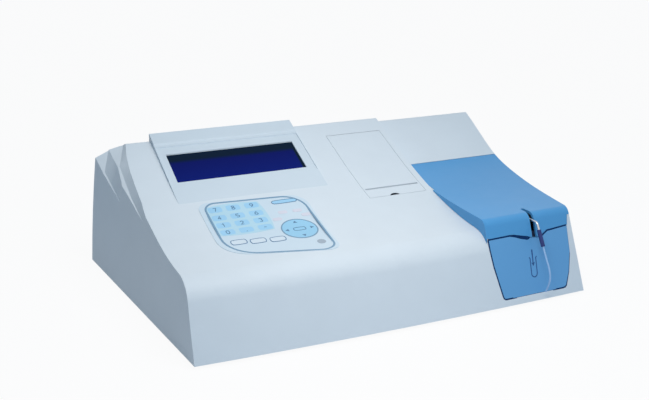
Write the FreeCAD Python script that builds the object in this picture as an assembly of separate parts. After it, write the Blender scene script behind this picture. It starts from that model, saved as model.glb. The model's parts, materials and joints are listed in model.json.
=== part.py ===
import FreeCAD, Part
import math
import os
from FreeCAD import Vector

# Semi-automatic chemistry analyzer, millimetres.
# Housing frame: X to the right, Y to the rear from the front corners, Z up from the housing's lower edge.
# Every shape is built in that frame and moved once when it is written, so that the origin of the
# part is the centre of its footprint on the surface that it stands on.

# Overall housing
half_front = 191.0        # half the width at the front corners
depth = 268.0             # front corners to the rear lower edge
front_bow = 4.0           # the front lower edge swells forward at its middle
flare = 6.2               # degrees that each side opens towards the rear
side_lean = 4.5           # degrees that the side walls lean inwards at the front
front_lean = 22.5         # degrees that the front face leans back
rear_lean = 6.0           # degrees that the rear wall leans forward
wall = 3.0
foot_drop = 3.0           # the feet lift the lower edge off the table
split_x = 94.0            # right edge of the main section
left_top_x = half_front - 10.0    # left wall at the height wall_top_z, where it runs straight
wall_top_z = 130.0
left_turn_y = 110.0       # behind this the left wall swings outwards
left_swing_r = 386.0

# Height of the main section's top along Y, and of the right section's top
main_top = [(20.0, 63.3), (70.0, 66.0), (118.0, 75.6), (160.0, 88.0), (211.0, 107.2), (248.0, 121.6)]
right_top = [(20.0, 74.4), (66.0, 74.7), (104.0, 76.0), (145.0, 80.0), (178.0, 86.6), (216.0, 102.8),
             (248.0, 117.4)]
main_fold_r = 28.0
right_fold_r = 9.0
ridge_r = 5.0             # rounding where the top meets the rear wall

# Blades at the left rear: (y, ledge edge, its z, ledge width, ledge rise, wall top, its z), where the
# edge and the wall top are measured outwards from the front corner
outer_blade = [
    (200.9, 10.1, 77.4, 0.2, 0.1, 6.9, 94.8),
    (207.2, 10.4, 79.7, 0.7, 0.3, 6.1, 97.5),
    (226.3, 13.3, 88.7, 1.3, 0.5, 4.8, 106.1),
    (242.1, 16.6, 97.9, 1.8, 0.9, 5.4, 112.1),
    (256.0, 20.4, 108.9, 13.2, 7.3, 5.4, 118.6),
    (264.0, 22.4, 114.4, 20.0, 11.0, -0.1, 128.6),
]
inner_blade = [
    (138.0, 1.8, 73.4, 0.2, 0.1, 0.2, 81.2),
    (163.5, 3.0, 80.2, 1.0, 0.4, -1.9, 89.2),
    (183.0, 4.3, 87.3, 1.3, 0.5, -2.2, 96.4),
    (205.0, 4.5, 96.5, 1.5, 0.6, -2.8, 105.0),
    (226.7, 4.8, 106.3, 1.9, 0.9, -4.6, 113.4),
    (255.5, 7.2, 116.2, 15.0, 4.6, -10.2, 124.0),
    (264.0, 7.9, 119.5, 17.0, 6.0, -11.5, 128.7),
]
blade_reach = 40.0
ledge_fall = 0.9          # a ledge's slope outside its edge, as a share of its slope inside

# Display
bezel_x0 = -157.0
bezel_x1 = -6.5
bezel_y0 = 153.0
bezel_slope = 22.8
bezel_step_y = 237.0      # the hood starts here
bezel_rear_y = 255.2
hood_lift = 1.0
opening_margin = 4.0      # the housing's opening under the bezel is this much larger than the window
window_x0 = -149.0
window_x1 = -16.5
window_y0 = 183.0
window_y1 = 224.0
window_margin = (6.6, 9.5, 5.6, 10.0)   # left, right, front, rear of the recessed frame
frame_recess = 0.9
window_sink = 2.2
window_thickness = 1.5
fit_gap = 0.3             # running round covers and inserts

# Keypad: corners (x, y) with their radii, seen from above
keypad_outline = [(-141.5, 149.8, 10.0), (-36.6, 144.3, 17.0), (-40.5, 40.5, 12.0), (-143.0, 63.5, 30.0)]
keypad_film = 0.4

# Printer
door_x0 = 25.0
door_x1 = 87.0
door_y0 = 123.5
door_y1 = 228.6
door_thickness = 2.4
slot_y = 138.0
slot_width = 58.0
slot_gap = 2.2
thumb_x = 52.5
thumb_r = 6.0
paper_width = 57.0
roll_r = 21.0
roll_core_r = 6.0
roll_y = 186.0
roll_z = 70.0
platen_y = 146.0
platen_z = 71.0
plate = 1.5               # side plates of the printer frame
door_cover = 1.2          # air between the door and what lies under it
platen_r = 5.0
platen_shaft_r = 1.5

# Compartment lid and front panel
lid_gap = 1.2             # beside the main section
lid_thickness = 2.5
lid_rear_y = 180.0
side_rail = 8.0           # height of the lid's right edge
parting = [(90.0, 58.6), (122.0, 59.0), (137.0, 55.2), (147.0, 53.2), (153.7, 54.6), (160.4, 58.3),
           (half_front + 24.0, 60.4)]
parting_gap = 0.7
notch_x = 145.4
notch_width = 6.4
notch_y = 44.0
notch_end_r = 1.9
lid_front_y = 48.0        # the lid's front skirt ends here
lid_side = [(half_front - 6.8, 58.0), (half_front - 3.6, 74.0)]    # right edge of the lid's front, (x, z)
scoop = [(118.0, 60.0), (119.0, 58.0), (134.0, 53.2), (139.0, 52.6), (139.0, 60.0)]
panel_outline = [(split_x + 0.4, 70.0), (split_x + 0.6, 50.0), (split_x + 2.2, 34.0), (split_x + 7.6, 6.2),
                 (half_front - 19.2, 6.2), (half_front - 13.4, 18.7), (half_front - 8.8, 34.7),
                 (half_front - 6.8, 70.0)]
panel_corner_r = 3.0
panel_thickness = 2.6
hinge_inset = 1.5         # hinge axis ahead of a cover's rear edge
hinge_drop = 2.9          # and below its top surface
hinge_pin_r = 1.0
knuckle_r = 1.9
boss_r = 2.6
boss_length = 3.5
ear_width = 3.0
side_play = 0.3
ear_back = 1.5            # the ear's stem ends this far behind the axis
running = 0.05
lid_ears = [split_x + 10.0, half_front - 3.0]
door_ears = [31.0, 78.0]

# Sample compartment
tray_x0 = split_x + 4.5
tray_floor_z = 48.0
tray_rim_z = 57.2
tray_wall = 2.0
tray_back_z = 76.0
tray_back_x1 = half_front + 4.0
leg_r = 3.5
leg_places = [(tray_x0 + 5.5, 50.0), (tray_x0 + 5.5, 165.0), (half_front - 4.5, 80.0),
              (half_front - 4.5, 165.0)]

# Sipper
pipe_r = 1.1
pipe_z = 68.4
pipe_y_in = 62.0
elbow_y = 18.5
nozzle_end = (6.7, 48.9)
elbow_r = 3.6
sleeve_r = 1.9
sleeve_length = 16.0
sleeve_grip = 6.0         # the pipe ends this far inside the sleeve
tube_r = 0.85
tube_route = [(6.7, 48.9), (1.3, 39.9), (-4.6, 31.6), (-7.5, 23.6), (-5.9, 15.4), (-2.3, 7.6)]   # (y, z)
grommet = (notch_x - 5.4, notch_x + 5.6, 34.0, 44.0, 71.0)    # x0, x1, y0, y1, top

# Base, feet and rear panel
sheet = 1.2
base_z = 0.6
foot_r = 8.0
foot_insets = ((31.0, 30.0), (11.0, 240.0))             # from the housing's side, and y
foot_places = [(side * (half_front - inset), y) for inset, y in foot_insets for side in (-1, 1)]
boss_places = [(19.0 - half_front, 62.0), (-20.0, 30.0), (1.0 - half_front, 205.0), (-24.0, 238.0),
               (half_front + 5.0, 200.0)]
low_boss = (half_front - 5.0, 58.0, 40.0)    # beside the right wall, under the tray: x, y, top
boss_outer_r = 4.5
screw_r = 1.5
screw_depth = 14.0
board_places = [(-155.0, 47.0), (-5.0, 47.0), (-155.0, 143.0), (-5.0, 143.0)]
panel_x0 = 15.0 - half_front
panel_x1 = 96.0
rear_panel_z0 = 10.0
rear_panel_z1 = 96.0
panel_lap = 5.0           # the panel laps the housing's opening by this much
panel_sheet = 1.5
inlet_x = -145.0
inlet_width = 30.0
inlet_low = 22.0
inlet_high = 70.0
switch_x = -107.0
switch_z = 46.0
rocker_width = 14.4
rocker_half = 11.6
rocker_tilt = 10.0
rocker_sink = 3.0
serial_x = -68.0
serial_z = 36.0
waste_x = 76.0
waste_z = 40.0
fan_x = 20.0
fan_z = 50.0
fan_size = 60.0
fan_depth = 15.0
fan_hole_r = 28.5
fan_hub_r = 11.0
fan_blades = 7


def box(x0, x1, y0, y1, z0, z1):
    return Part.makeBox(x1 - x0, y1 - y0, z1 - z0, Vector(x0, y0, z0))


def rod(radius, start, end):
    a = Vector(*start)
    b = Vector(*end)
    return Part.makeCylinder(radius, (b - a).Length, a, b - a)


def side_prism(points, x0, x1):
    """Polygon of (y, z) points carried from x0 to x1."""
    ring = [Vector(x0, y, z) for y, z in points]
    return Part.Face(Part.makePolygon(ring + ring[:1])).extrude(Vector(x1 - x0, 0, 0))


def plan_prism(points, z0, z1):
    ring = [Vector(x, y, z0) for x, y in points]
    return Part.Face(Part.makePolygon(ring + ring[:1])).extrude(Vector(0, 0, z1 - z0))


def face_prism(points, y0, y1):
    """Polygon of (x, z) points carried from y0 to y1."""
    ring = [Vector(x, y0, z) for x, z in points]
    return Part.Face(Part.makePolygon(ring + ring[:1])).extrude(Vector(0, y1 - y0, 0))


def fused(shapes):
    return shapes[0].multiFuse(shapes[1:]).removeSplitter()


def tangent(a, b):
    return (b - a).normalize()


def rounded_ring(points, z=0.0):
    """Closed wire through (x, y, radius) corners, each one an arc tangent to its two sides."""
    corners = [Vector(x, y, z) for x, y, r in points]
    edges = []
    count = len(points)
    starts, ends, arcs = [], [], []
    for i in range(count):
        corner = corners[i]
        back = tangent(corner, corners[i - 1])
        ahead = tangent(corner, corners[(i + 1) % count])
        half = back.getAngle(ahead) / 2.0
        run = points[i][2] / math.tan(half)
        middle = (back + ahead).normalize() * (points[i][2] / math.sin(half) - points[i][2])
        starts.append(corner + back * run)
        ends.append(corner + ahead * run)
        arcs.append(Part.Arc(starts[-1], corner + middle, ends[-1]).toShape())
    for i in range(count):
        edges.append(arcs[i])
        edges.append(Part.LineSegment(ends[i], starts[(i + 1) % count]).toShape())
    return Part.Wire(edges)


def bent_path(points, radii):
    """Straight runs through the points, joined by tangent arcs of the given radii."""
    edges = []
    here = points[0]
    for i in range(1, len(points) - 1):
        back = tangent(points[i], points[i - 1])
        ahead = tangent(points[i], points[i + 1])
        half = back.getAngle(ahead) / 2.0
        run = radii[i - 1] / math.tan(half)
        middle = (back + ahead).normalize() * (radii[i - 1] / math.sin(half) - radii[i - 1])
        start = points[i] + back * run
        end = points[i] + ahead * run
        if (start - here).Length > 0.001:
            edges.append(Part.LineSegment(here, start).toShape())
        edges.append(Part.Arc(start, points[i] + middle, end).toShape())
        here = end
    edges.append(Part.LineSegment(here, points[-1]).toShape())
    return Part.Wire(edges)


def swept_round(path, radius):
    first = path.Edges[0]
    start = first.valueAt(first.FirstParameter)
    heading = first.tangentAt(first.FirstParameter)
    ring = Part.Wire(Part.Circle(start, heading, radius).toShape())
    return path.makePipeShell([ring], True, False)


# Housing surfaces

def top_curve(points, inset):
    """Spline along the top in the plane x = 0, moved inwards by inset along its normals."""
    base = Part.BSplineCurve()
    base.interpolate([Vector(0, y, z) for y, z in points])
    if not inset:
        return base
    moved = []
    for y, z in points:
        place = base.parameter(Vector(0, y, z))
        along = base.tangent(place)[0]
        moved.append(Vector(0, y, z) - Vector(0, -along.z, along.y) * inset)
    inner = Part.BSplineCurve()
    inner.interpolate(moved)
    return inner


def height(points, y, inset=0.0):
    """Height of the top at y."""
    curve = top_curve(points, inset)
    low, high = curve.FirstParameter, curve.LastParameter
    for _ in range(40):
        middle = (low + high) / 2.0
        if curve.value(middle).y < y:
            low = middle
        else:
            high = middle
    return curve.value(low).z


def rear_y(z, inset=0.0):
    return depth - z * math.tan(math.radians(rear_lean)) - inset / math.cos(math.radians(rear_lean))


def nearest_edge(shape, place):
    return min(shape.Edges, key=lambda e: e.distToShape(Part.Vertex(place))[0])


def top_block(points, fold_r, x0, x1, inset):
    """Space below one top curve, from the bowed front to the rear wall, with its front fold rounded."""
    curve = top_curve(points, inset)
    first = curve.value(curve.FirstParameter)
    last = curve.value(curve.LastParameter)
    low_z = -2.0 if inset else 0.0
    along = curve.tangent(curve.LastParameter)[0]
    run = (rear_y(last.z, inset) - last.y) / (along.y + along.z * math.tan(math.radians(rear_lean)))
    crest = last + along * run
    corners = [last, crest, Vector(0, rear_y(low_z, inset), low_z), Vector(0, -30, low_z), Vector(0, -30, first.z),
               first]
    edges = [curve.toShape()] + [Part.LineSegment(a, b).toShape() for a, b in zip(corners, corners[1:])]
    block = Part.Face(Part.Wire(edges)).extrude(Vector(x1 - x0, 0, 0))
    block.translate(Vector(x0, 0, 0))
    ridge = nearest_edge(block, crest + Vector((x0 + x1) / 2.0, 0, 0))
    block = block.makeFillet(max(ridge_r - inset, 0.5), [ridge])
    block = block.common(front_block(inset))
    fold_z = first.z
    fold_y = fold_z * math.tan(math.radians(front_lean))
    fold = nearest_edge(block, Vector((x0 + x1) / 2.0, fold_y - front_bow / 2.0, fold_z))
    return block.makeFillet(max(fold_r - inset, 0.5), [fold])


def front_block(inset):
    """Everything behind the bowed, leaning front face, moved back by inset."""
    radius = (half_front ** 2 + front_bow ** 2) / (2.0 * front_bow)
    reach = half_front + 90.0
    side_y = radius - front_bow - math.sqrt(radius ** 2 - reach ** 2)
    lean = math.tan(math.radians(front_lean))
    low_z, high_z = -12.0, 160.0
    shift = Vector(0, inset / math.cos(math.radians(front_lean)) + low_z * lean, low_z)
    left = Vector(-reach, side_y, 0) + shift
    right = Vector(reach, side_y, 0) + shift
    bow = Part.Arc(left, Vector(0, -front_bow, 0) + shift, right).toShape()
    far = 400.0
    back = [right, Vector(reach, far, low_z), Vector(-reach, far, low_z), left]
    sides = [Part.LineSegment(a, b).toShape() for a, b in zip(back, back[1:])]
    rise = Vector(0, (high_z - low_z) * lean, high_z - low_z)
    return Part.Face(Part.Wire([bow] + sides)).extrude(rise)


def side_x(y, z, inset=0.0):
    """Right wall's outer face."""
    return half_front + y * math.tan(math.radians(flare)) - z * math.tan(math.radians(side_lean)) - inset


def left_x(y, z, inset=0.0):
    """Left wall's outer face: flared at the bottom, straight at the top as far as left_turn_y."""
    low = half_front + y * math.tan(math.radians(flare))
    high = left_top_x
    if y > left_turn_y:
        high += left_swing_r - math.sqrt(left_swing_r ** 2 - (y - left_turn_y) ** 2)
    return -(low + (high - low) * z / wall_top_z) + inset


def side_block(inset):
    """Everything between the two side walls, moved inwards by inset."""
    front_y, back_y = -40.0, 290.0
    rings = []
    for z in (-3.0 if inset else 0.0, wall_top_z):
        turn = Vector(left_x(left_turn_y, z, inset), left_turn_y, z)
        front = Vector(left_x(front_y, z, inset), front_y, z)
        back = Vector(left_x(back_y, z, inset), back_y, z)
        middle_y = (left_turn_y + back_y) / 2.0
        middle = Vector(left_x(middle_y, z, inset), middle_y, z)
        right_back = Vector(side_x(back_y, z, inset), back_y, z)
        right_front = Vector(side_x(front_y, z, inset), front_y, z)
        edges = [Part.LineSegment(front, turn).toShape()]
        if z > 0:
            edges.append(Part.Arc(turn, middle, back).toShape())
        else:
            edges.append(Part.LineSegment(turn, back).toShape())
        ring = [back, right_back, right_front, front]
        edges += [Part.LineSegment(a, b).toShape() for a, b in zip(ring, ring[1:])]
        rings.append(Part.Wire(edges))
    return Part.makeLoft(rings, True, True)


def blade_cutter(stations, sink=0.0):
    """Space above one blade's ledge and beside the wall behind it, sunk into the housing by sink."""
    rings = []
    for y, edge, z, width, rise, top, top_z in stations:
        inner = Vector(width - half_front - edge + sink, y, z + rise - sink)
        ledge = inner - Vector(blade_reach, 0, blade_reach * rise / width * ledge_fall)
        lean = (Vector(-half_front - top + sink, y, top_z - sink) - inner).normalize()
        over = inner + lean * 2.0 * blade_reach
        corners = [inner, ledge, Vector(ledge.x, y, over.z), over]
        rings.append(Part.makePolygon(corners + corners[:1]))
    return Part.makeLoft(rings, True, True)


def main_block(inset):
    return top_block(main_top, main_fold_r, -260.0, split_x - inset, inset)


def right_block(inset, x0):
    return top_block(right_top, right_fold_r, x0, 260.0, inset)


def parting_z(gap):
    """Lower edge of the lid's front as (x, z) points."""
    start = split_x + lid_gap - gap
    return [(start, parting[0][1] - gap)] + [(x, z - gap) for x, z in parting if start < x < lid_side[0][0]]


def rail_line(gap):
    """Lower edge of the lid's right side as (y, z) points, front to rear."""
    return [(-30.0, height(right_top, 40.0) - side_rail + 1.6 - gap),
            (66.0, height(right_top, 66.0) - side_rail + 1.4 - gap),
            (120.0, height(right_top, 120.0) - side_rail + 0.8 - gap),
            (lid_rear_y, height(right_top, lid_rear_y) - side_rail + 1.6 - gap)]


def lid_region(gap, rear):
    """Everything that belongs to the lid: its top and right rail, its front skirt and its left skirt."""
    left = split_x + lid_gap - gap
    high = 150.0
    line = rail_line(gap)
    upper = side_prism(line[:-1] + [(rear, line[-1][1]), (rear, high), (-30.0, high)], left, 260.0)
    low = parting_z(gap)
    (edge_x, edge_z), (top_x, top_z) = lid_side
    right = [(edge_x + gap, edge_z + 1.2 - gap), (top_x + gap, top_z), (top_x + gap, high)]
    front = face_prism([(left, high)] + low + right, -30.0, lid_front_y + gap)
    skirt = box(left, split_x + lid_gap + lid_thickness + gap, lid_front_y - 1.0, rear, low[0][1], high)
    return fused([upper, front, skirt])


def hinge_point(points, rear):
    y = rear - hinge_inset
    return y, height(points, y) - hinge_drop


def swing_room(points, rear, x0, x1):
    """Room in the housing for a cover's rear edge to turn round its hinge."""
    y, z = hinge_point(points, rear)
    reach = math.hypot(rear - y, height(points, rear) - z) + fit_gap
    return rod(reach, (x0, y, z), (x1, y, z))


def hinge_bosses(points, rear, places):
    """Boss on each side of every ear, fused under the cover."""
    y, z = hinge_point(points, rear)
    bosses = []
    for x in places:
        for start in (x - side_play - boss_length, x + ear_width + side_play):
            bosses.append(rod(boss_r, (start, y, z), (start + boss_length, y, z)))
    return bosses


def hinge_bores(points, rear, places, clearance):
    y, z = hinge_point(points, rear)
    reach = side_play + boss_length + 1.0
    return fused([rod(hinge_pin_r + clearance, (x - reach, y, z), (x + ear_width + reach, y, z))
                  for x in places])


def ear_pockets(points, rear, places):
    y, z = hinge_point(points, rear)
    return [rod(knuckle_r + 0.4, (x - side_play, y, z), (x + ear_width + side_play, y, z)) for x in places]


def hinge_ears(points, rear, places, foot_z):
    """Ears that carry the pins, on stems that reach down to foot_z."""
    y, z = hinge_point(points, rear)
    ears = []
    for x in places:
        ears.append(rod(knuckle_r, (x, y, z), (x + ear_width, y, z)))
        ears.append(box(x, x + ear_width, y - knuckle_r, y + ear_back, foot_z, z))
    return ears


def make_hinge_pins(points, rear, places):
    y, z = hinge_point(points, rear)
    reach = side_play + boss_length
    return Part.Compound([rod(hinge_pin_r, (x - reach, y, z), (x + ear_width + reach, y, z)) for x in places])


# Housing

def panel_space(gap):
    """Front panel outline with rounded lower corners, grown by gap, as a solid through the front."""
    radii = [0.5, 30.0, 40.0, panel_corner_r, panel_corner_r, 30.0, 30.0, 0.5]
    ring = rounded_ring([(x, z, r) for (x, z), r in zip(panel_outline, radii)])
    if gap:
        ring = ring.makeOffset2D(gap)
    solid = Part.Face(ring).extrude(Vector(0, 0, 90.0))
    solid.rotate(Vector(0, 0, 0), Vector(1, 0, 0), 90.0)
    solid.translate(Vector(0, 60.0, 0))
    return solid


def make_housing():
    outer = main_block(0.0).fuse(right_block(0.0, split_x)).common(side_block(0.0))
    outer = outer.cut(blade_cutter(inner_blade)).cut(blade_cutter(outer_blade))
    inner_main = main_block(wall)
    inner_right = right_block(wall, split_x + wall)
    shared = inner_main.copy()
    shared.translate(Vector(2.0 * wall, 0, 0))
    bridge = shared.common(right_block(wall, split_x - wall))
    inside = fused([inner_main, inner_right, bridge]).common(side_block(wall))
    inside = inside.cut(blade_backing())
    body = outer.cut(inside)
    body = body.cut(right_opening())
    body = body.fuse(divider())
    body = body.cut(display_cut()).cut(printer_cut()).cut(rear_cut())
    body = fused([body, wall_boss()] + [column(x, y) for x, y in boss_places])
    for x, y in boss_places + [low_boss[:2]]:
        body = body.cut(rod(screw_r, (x, y, -1), (x, y, screw_depth)))
    return body


def blade_backing():
    """Solid left behind the blades, where the wall steps inwards."""
    return blade_cutter(inner_blade, wall).fuse(blade_cutter(outer_blade, wall))


def right_opening():
    """Opening for the lid and the lower front panel in the right section."""
    lid = lid_region(fit_gap, lid_rear_y + fit_gap)
    trough = swing_room(right_top, lid_rear_y, split_x + lid_gap - fit_gap, 260.0)
    panel = panel_space(fit_gap).common(box(split_x + 0.2, 260, -30, 60, -5, 70))
    return lid.fuse(trough).fuse(panel)


def divider():
    """Wall between the main section and the sample compartment."""
    slab = box(split_x - wall, split_x, 3.0, lid_rear_y + 3.0, 44.0, 120.0)
    low_front = box(split_x - wall, split_x, 0.0, 60.0, base_z + sheet, 60.0)
    return slab.fuse(low_front).common(main_block(1.0)).common(side_block(1.0))


def column(x, y):
    """Screw boss from the base up to the underside of the top."""
    tall = rod(boss_outer_r, (x, y, base_z + sheet), (x, y, 124.0))
    block = main_block(1.0) if x < split_x else right_block(1.0, split_x)
    return tall.common(block).common(side_block(1.0)).cut(blade_cutter(inner_blade, 1.0))


def wall_boss():
    """Low screw boss tied to the right wall by a rib."""
    x, y, top = low_boss
    post = rod(boss_outer_r, (x, y, base_z + sheet), (x, y, top))
    rib = box(x, 220.0, y - 1.0, y + 1.0, base_z + sheet, top).common(side_block(1.0))
    return post.fuse(rib)


def display_cut():
    """Opening under the display bezel."""
    return box(window_x0 - opening_margin, window_x1 + opening_margin,
               window_y0 - opening_margin, window_y1 + opening_margin, 40.0, 150.0)


def printer_cut():
    """Opening under the printer door, with room for its hinge."""
    x0, x1 = door_x0 - fit_gap, door_x1 + fit_gap
    return box(x0, x1, door_y0 - fit_gap, door_y1 + fit_gap, 44.0, 150.0).fuse(
        swing_room(main_top, door_y1, x0, x1))


def rear_cut():
    """Opening behind the rear panel."""
    return box(panel_x0 + panel_lap, panel_x1 - panel_lap, 235.0, 300.0,
               rear_panel_z0 + panel_lap, rear_panel_z1 - panel_lap)


# Display

def bezel_plane(y):
    return height(main_top, bezel_y0) + (y - bezel_y0) * math.tan(math.radians(bezel_slope))


def bezel_profile():
    """Side outline of the bezel: a wedge on the housing's top with the hood at its rear."""
    crown = bezel_plane(bezel_rear_y) + hood_lift
    return [(bezel_y0, bezel_plane(bezel_y0)), (bezel_step_y, bezel_plane(bezel_step_y)),
            (bezel_step_y + 1.2, bezel_plane(bezel_step_y + 1.2) + hood_lift), (bezel_rear_y - 1.0, crown - 0.4),
            (bezel_rear_y, crown - 1.6), (bezel_rear_y + 0.8, 119.0), (bezel_rear_y - 6.0, 112.0), (bezel_y0, 70.0)]


def make_display_bezel():
    solid = side_prism(bezel_profile(), bezel_x0, bezel_x1).cut(main_block(0.0))
    left, right, front, rear = window_margin
    recess = tilted_box(window_x0 - left, window_x1 + right, window_y0 - front, window_y1 + rear,
                        frame_recess, 20.0)
    opening = box(window_x0, window_x1, window_y0, window_y1, 60.0, 150.0)
    return solid.fuse(lip_frame()).cut(window_pocket()).cut(recess).cut(opening).removeSplitter()


def tilted_box(x0, x1, y0, y1, sink, rise):
    """Box that stands on the bezel's plane, sunk by sink."""
    z0, z1 = bezel_plane(y0), bezel_plane(y1)
    return side_prism([(y0, z0 - sink), (y1, z1 - sink), (y1, z1 + rise), (y0, z0 + rise)], x0, x1)


def lip_frame():
    """Rim under the bezel that locates it in the housing's opening and carries the window."""
    margin = opening_margin - fit_gap
    low = window_sink + window_thickness + 3.0
    y0, y1 = window_y0 - margin, window_y1 + margin
    frame = side_prism([(y0, bezel_plane(y0) - low - 3.0), (y1, bezel_plane(y1) - low - 3.0),
                        (y1, bezel_plane(y1) - frame_recess), (y0, bezel_plane(y0) - frame_recess)],
                       window_x0 - margin, window_x1 + margin)
    return frame


def window_pocket():
    """Seat for the window, open below."""
    y0, y1 = window_y0 - 2.0, window_y1 + 2.0
    return side_prism([(y0, bezel_plane(y0) - 40.0), (y1, bezel_plane(y1) - 40.0),
                       (y1, bezel_plane(y1) - window_sink), (y0, bezel_plane(y0) - window_sink)],
                      window_x0 - 2.0, window_x1 + 2.0)


def window_slab(top_sink, bottom_sink, grow):
    y0, y1 = window_y0 - grow, window_y1 + grow
    return side_prism([(y0, bezel_plane(y0) - bottom_sink), (y1, bezel_plane(y1) - bottom_sink),
                       (y1, bezel_plane(y1) - top_sink), (y0, bezel_plane(y0) - top_sink)],
                      window_x0 - grow, window_x1 + grow)


def make_display_window():
    return window_slab(window_sink, window_sink + window_thickness, 2.0 - 0.1)


def make_lcd_module():
    top = window_sink + window_thickness
    return window_slab(top, top + 5.0, 2.0 - 0.2)


def make_display_board():
    top = window_sink + window_thickness + 5.0
    board = window_slab(top, top + 1.6, 1.5)
    chips = []
    for i in range(4):
        x = window_x0 + 20.0 + 28.0 * i
        y0, y1 = window_y0 + 12.0, window_y0 + 26.0
        low = top + 1.6
        chips.append(side_prism([(y0, bezel_plane(y0) - low - 1.8), (y1, bezel_plane(y1) - low - 1.8),
                                 (y1, bezel_plane(y1) - low), (y0, bezel_plane(y0) - low)], x, x + 14.0))
    return fused([board] + chips)


# Keypad

def make_keypad_overlay():
    """Film on the housing's top, with its edge following the outline."""
    outline = Part.Face(rounded_ring(keypad_outline, 20.0)).extrude(Vector(0, 0, 110.0))
    over = main_block(-keypad_film)
    return over.cut(main_block(0.0)).common(outline)


# Sample compartment

def make_lid():
    left = split_x + lid_gap
    shell = right_block(0.0, left).common(side_block(0.0)).common(lid_region(0.0, lid_rear_y))
    edge = lid_side[0][0] - lid_thickness
    rear_edge = side_x(lid_rear_y, lid_side[0][1], wall + fit_gap + lid_thickness)
    plan = plan_prism([(left + lid_thickness, -30), (edge, -30), (edge, lid_front_y), (rear_edge, lid_rear_y),
                       (rear_edge, 300), (left + lid_thickness, 300)], -5.0, 150.0)
    room = right_block(lid_thickness, left).common(plan)
    lid = shell.cut(room)
    lid = fused([lid] + hinge_bosses(right_top, lid_rear_y, lid_ears))
    for pocket in ear_pockets(right_top, lid_rear_y, lid_ears):
        lid = lid.cut(pocket)
    lid = lid.cut(hinge_bores(right_top, lid_rear_y, lid_ears, running))
    return lid.cut(notch())


def notch():
    """Slot in the lid for the sipper pipe: narrow at its rear end, wider towards the front."""
    end_y = notch_y - notch_end_r
    half = notch_width / 2.0 + 1.0
    taper = plan_prism([(notch_x - half, -30), (notch_x + half, -30), (notch_x + notch_end_r, end_y),
                        (notch_x - notch_end_r, end_y)], 20.0, 100.0)
    return taper.fuse(rod(notch_end_r, (notch_x, end_y, 20.0), (notch_x, end_y, 100.0)))


def make_front_panel():
    skin = front_block(0.0).cut(front_block(panel_thickness))
    low = [(x, z - parting_gap) for x, z in parting]
    below = face_prism([(60.0, -10.0), (60.0, low[0][1])] + low + [(230.0, -10.0)], -30.0, 70.0)
    panel = skin.common(panel_space(0.0)).common(below)
    shallow = front_block(panel_thickness * 0.45)
    return panel.cut(face_prism(scoop, -30.0, 70.0).cut(shallow))


def make_tray():
    front = wall + fit_gap + 1.0
    y, z = hinge_point(right_top, lid_rear_y)
    rear = y + ear_back
    side = wall + fit_gap + 0.5
    outer = box(tray_x0, 260.0, -20.0, rear, tray_floor_z, tray_rim_z)
    outer = outer.common(side_block(side)).common(front_block(front))
    inner = box(tray_x0 + tray_wall, 260.0, -20.0, y - knuckle_r, tray_floor_z + tray_wall, 90.0)
    inner = inner.common(side_block(side + tray_wall)).common(front_block(front + tray_wall))
    back = box(tray_x0, tray_back_x1, y - knuckle_r, rear, tray_floor_z, tray_back_z)
    legs = [rod(leg_r, (x, yy, base_z + sheet), (x, yy, tray_floor_z + 0.5)) for x, yy in leg_places]
    ears = hinge_ears(right_top, lid_rear_y, lid_ears, tray_back_z - 1.0)
    tray = fused([outer.cut(inner), back] + legs + ears)
    return tray.cut(hinge_bores(right_top, lid_rear_y, lid_ears, 0.0))


# Sipper

def make_sipper_grommet():
    x0, x1, y0, y1, top = grommet
    block = box(x0, x1, y0, y1, tray_floor_z + tray_wall, top)
    block = block.makeFillet(1.5, [e for e in block.Edges if e.BoundBox.ZLength > 5.0])
    return block.cut(rod(pipe_r, (notch_x, y0 - 1, pipe_z), (notch_x, y1 + 1, pipe_z)))


def nozzle_line():
    """End of the sleeve and the direction back along it, towards the elbow."""
    end = Vector(notch_x, *nozzle_end)
    return end, tangent(end, Vector(notch_x, elbow_y, pipe_z))


def make_sipper_pipe():
    end, back = nozzle_line()
    points = [Vector(notch_x, pipe_y_in, pipe_z), Vector(notch_x, elbow_y, pipe_z), end + back * sleeve_grip]
    return swept_round(bent_path(points, [elbow_r]), pipe_r)


def make_sipper_sleeve():
    end, back = nozzle_line()
    body = Part.makeCylinder(sleeve_r, sleeve_length, end, back)
    body = body.makeChamfer(0.4, body.Edges)
    grip = Part.makeCylinder(pipe_r, sleeve_length, end + back * sleeve_grip, back)
    return body.cut(grip).cut(Part.makeCylinder(tube_r * 0.5, sleeve_length, end, back))


def make_sipper_tube():
    points = [Vector(notch_x, y, z) for y, z in tube_route]
    radii = []
    for before, here, after in zip(points, points[1:], points[2:]):
        turn = (here - before).getAngle(after - here)
        shorter = min((here - before).Length, (after - here).Length)
        radii.append(0.45 * shorter / math.tan(turn / 2.0))
    path = bent_path(points, radii)
    tube = swept_round(path, tube_r)
    print("sipper tube radii", ["%.1f" % r for r in radii], "length %.1f" % path.Length,
          "volume %.1f of %.1f" % (tube.Volume, math.pi * tube_r ** 2 * path.Length))
    return tube


# Printer

def frame_x():
    """Outer faces of the printer frame, centred under the door."""
    middle = (door_x0 + door_x1) / 2.0
    half = paper_width / 2.0 + 0.5 + plate
    return middle - half, middle + half


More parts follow.
